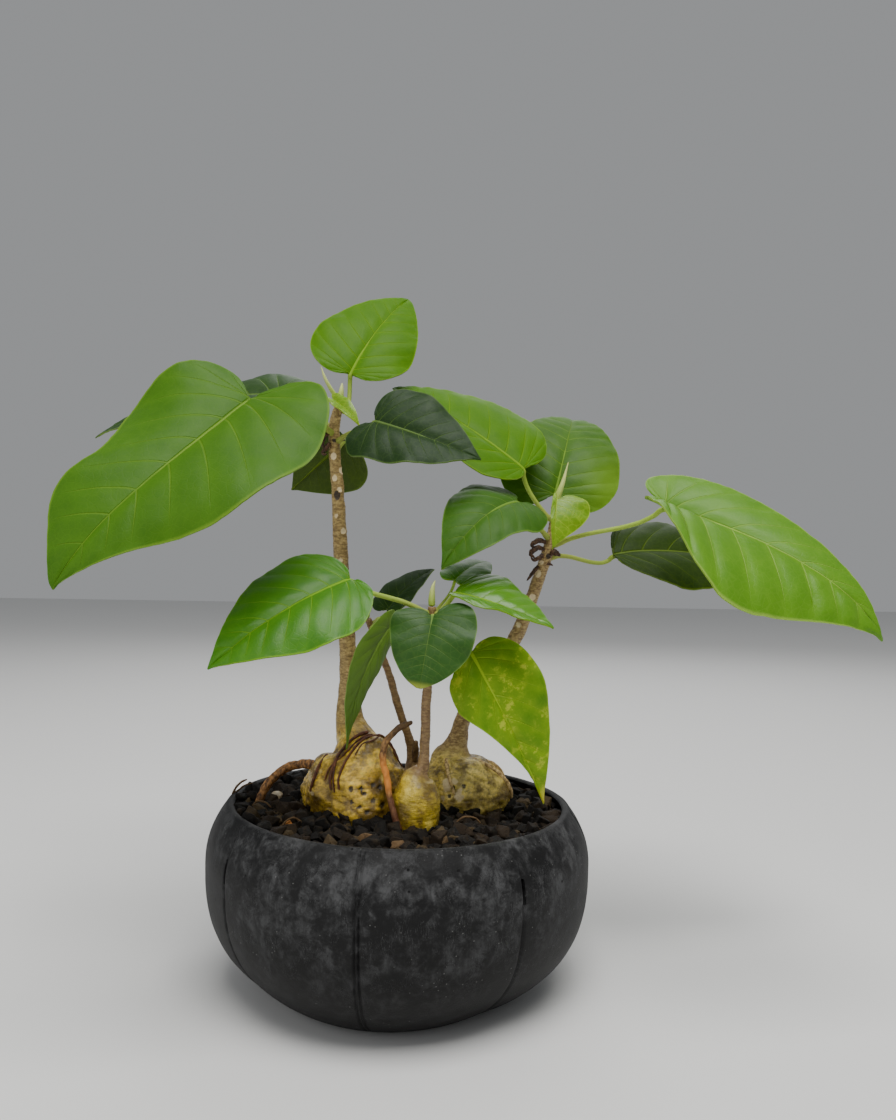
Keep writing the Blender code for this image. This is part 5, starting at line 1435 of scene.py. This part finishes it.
bark_skin = shader_group("fig bark", ("gold", "olive", "stem", "light", "dark"), (), bark_rule)
dry_skin = root_material("dry leaf sheath", (0.022, 0.009, 0.005), (0.12, 0.055, 0.022))
for name in TRUNKS:
    body, roots = make_trunk(name, bark_skin)
    parts = [body]
    root_skin = root_material(f"{name} roots", *(PALE_ROOT if name == "trunk_right" else DARK_ROOT))
    for k, path in enumerate(roots):
        parts.append(sleeve(f"{name}_root_{k}", path[::5], root_skin, 0.6, 10, 0.22, 1.6))
    if name in LOOSE_ROOTS:
        path, *looks = LOOSE_ROOTS[name]
        skin = root_material(f"{name} loose root", *looks)
        parts.append(sleeve(f"{name}_loose", path, skin, 0.5, 20, 0.22, 1.8, floats=LENGTH))
    for k, path in enumerate(DRY_SHEATHS.get(name, ())):
        parts.append(sleeve(f"{name}_sheath_{k}", path, dry_skin, 0.3, 10, 0.4, 0.9, flat=0.85))
    whole = joined(name + "_skin", parts)
    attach(whole, "root")
    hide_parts(name)

tip_skin = finish("growing tip", bud_rule)
for name, spikes in BUDS.items():
    parts = []
    for k, points in enumerate(spikes):
        parts.append(sleeve(f"{name}_spike_{k}", points, tip_skin, 0.35, 16, 0.05, floats=LENGTH, flat=0.85))
    whole = joined(name + "_tip", parts)
    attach(whole, "root")
    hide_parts(name)

pot = make_pot()
pot.data.materials.append(finish("pot black plastic", pot_rule, 0.2))
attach(pot, "root")
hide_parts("pot")

grit_skin = finish("black grit", grit_rule, 0.25)
parts = [make_soil(grit_skin)]
for k, path in enumerate(HAIRS):
    parts.append(sleeve(f"hair_{k}", path, grit_skin, 0.5, 8, 0.3, 1.5, floats=("tone",), tone=1.45))
grit = joined("grit", parts)
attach(grit, "root")
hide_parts("soil")

rng = random.Random(3)
mould = grain_mould(rng, 12)
pebble = bmesh.new()
add_grain(pebble, mould, STONE, STONE_RADIUS, 0, rng, tilt=0.3)
bpy.data.meshes.remove(mould)
stone = finish_mesh(pebble, "pebble", [finish("pale stone", stone_rule, 0.3)])
smoother = stone.modifiers.new("smooth", "SUBSURF")
smoother.levels = smoother.render_levels = 2
applied(stone)
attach(stone, "root")
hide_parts("pale_stone")


# Floor, light and camera

FLOOR_SIZE = 4
# The lens and the tilt of the camera, in picture rows of the 1120 that the view is high.
VIEW_ROWS = 1120
LENS_ROWS = 900
TILT_ROWS = 12
SENSOR = 36
CAMERA_ROLL = math.radians(0.9)

floor_paint = bpy.data.materials.new("pale floor")
floor_paint.use_nodes = True
floor_shader = floor_paint.node_tree.nodes["Principled BSDF"]
floor_shader.inputs["Base Color"].default_value = (0.72, 0.72, 0.71, 1)
floor_shader.inputs["Roughness"].default_value = 0.8
floor_mesh = bmesh.new()
bmesh.ops.create_grid(floor_mesh, x_segments=1, y_segments=1, size=FLOOR_SIZE)
floor = finish_mesh(floor_mesh, "floor", [floor_paint])


def area_light(name, place, target_z, size, power, colour=(1, 1, 1)):
    """A square light that looks at a point above the pot's middle."""
    light = bpy.data.lights.new(name, "AREA")
    light.size = size
    light.energy = power
    light.color = colour
    obj = bpy.data.objects.new(name, light)
    obj.location = place
    obj.rotation_euler = (Vector((0, 0, target_z)) - Vector(place)).to_track_quat("-Z", "Y").to_euler()
    bpy.context.scene.collection.objects.link(obj)


area_light("key", (0.12, -0.50, 1.45), 0.12, 0.9, 26, (1.0, 0.985, 0.96))
area_light("fill", (-0.9, -0.9, 0.6), 0.12, 1.0, 4)
area_light("back", (0.2, 1.0, 1.0), 0.15, 1.0, 5)

world = bpy.data.worlds.new("studio")
world.use_nodes = True
sky = world.node_tree.nodes["Background"].inputs
sky["Color"].default_value = (0.86, 0.88, 0.90, 1)
sky["Strength"].default_value = 0.35
bpy.context.scene.world = world

camera_data = bpy.data.cameras.new("camera")
camera_data.sensor_width = SENSOR
camera_data.lens = LENS_ROWS / VIEW_ROWS * SENSOR
camera = bpy.data.objects.new("camera", camera_data)
camera.location = (0.0178, -0.360, 0.159)
pitch = Matrix.Rotation(math.radians(90) + math.atan(TILT_ROWS / LENS_ROWS), 4, "X")
roll = Matrix.Rotation(CAMERA_ROLL, 4, "Z")
camera.matrix_world = Matrix.Translation(camera.location) @ pitch @ roll
bpy.context.scene.collection.objects.link(camera)
bpy.context.scene.camera = camera
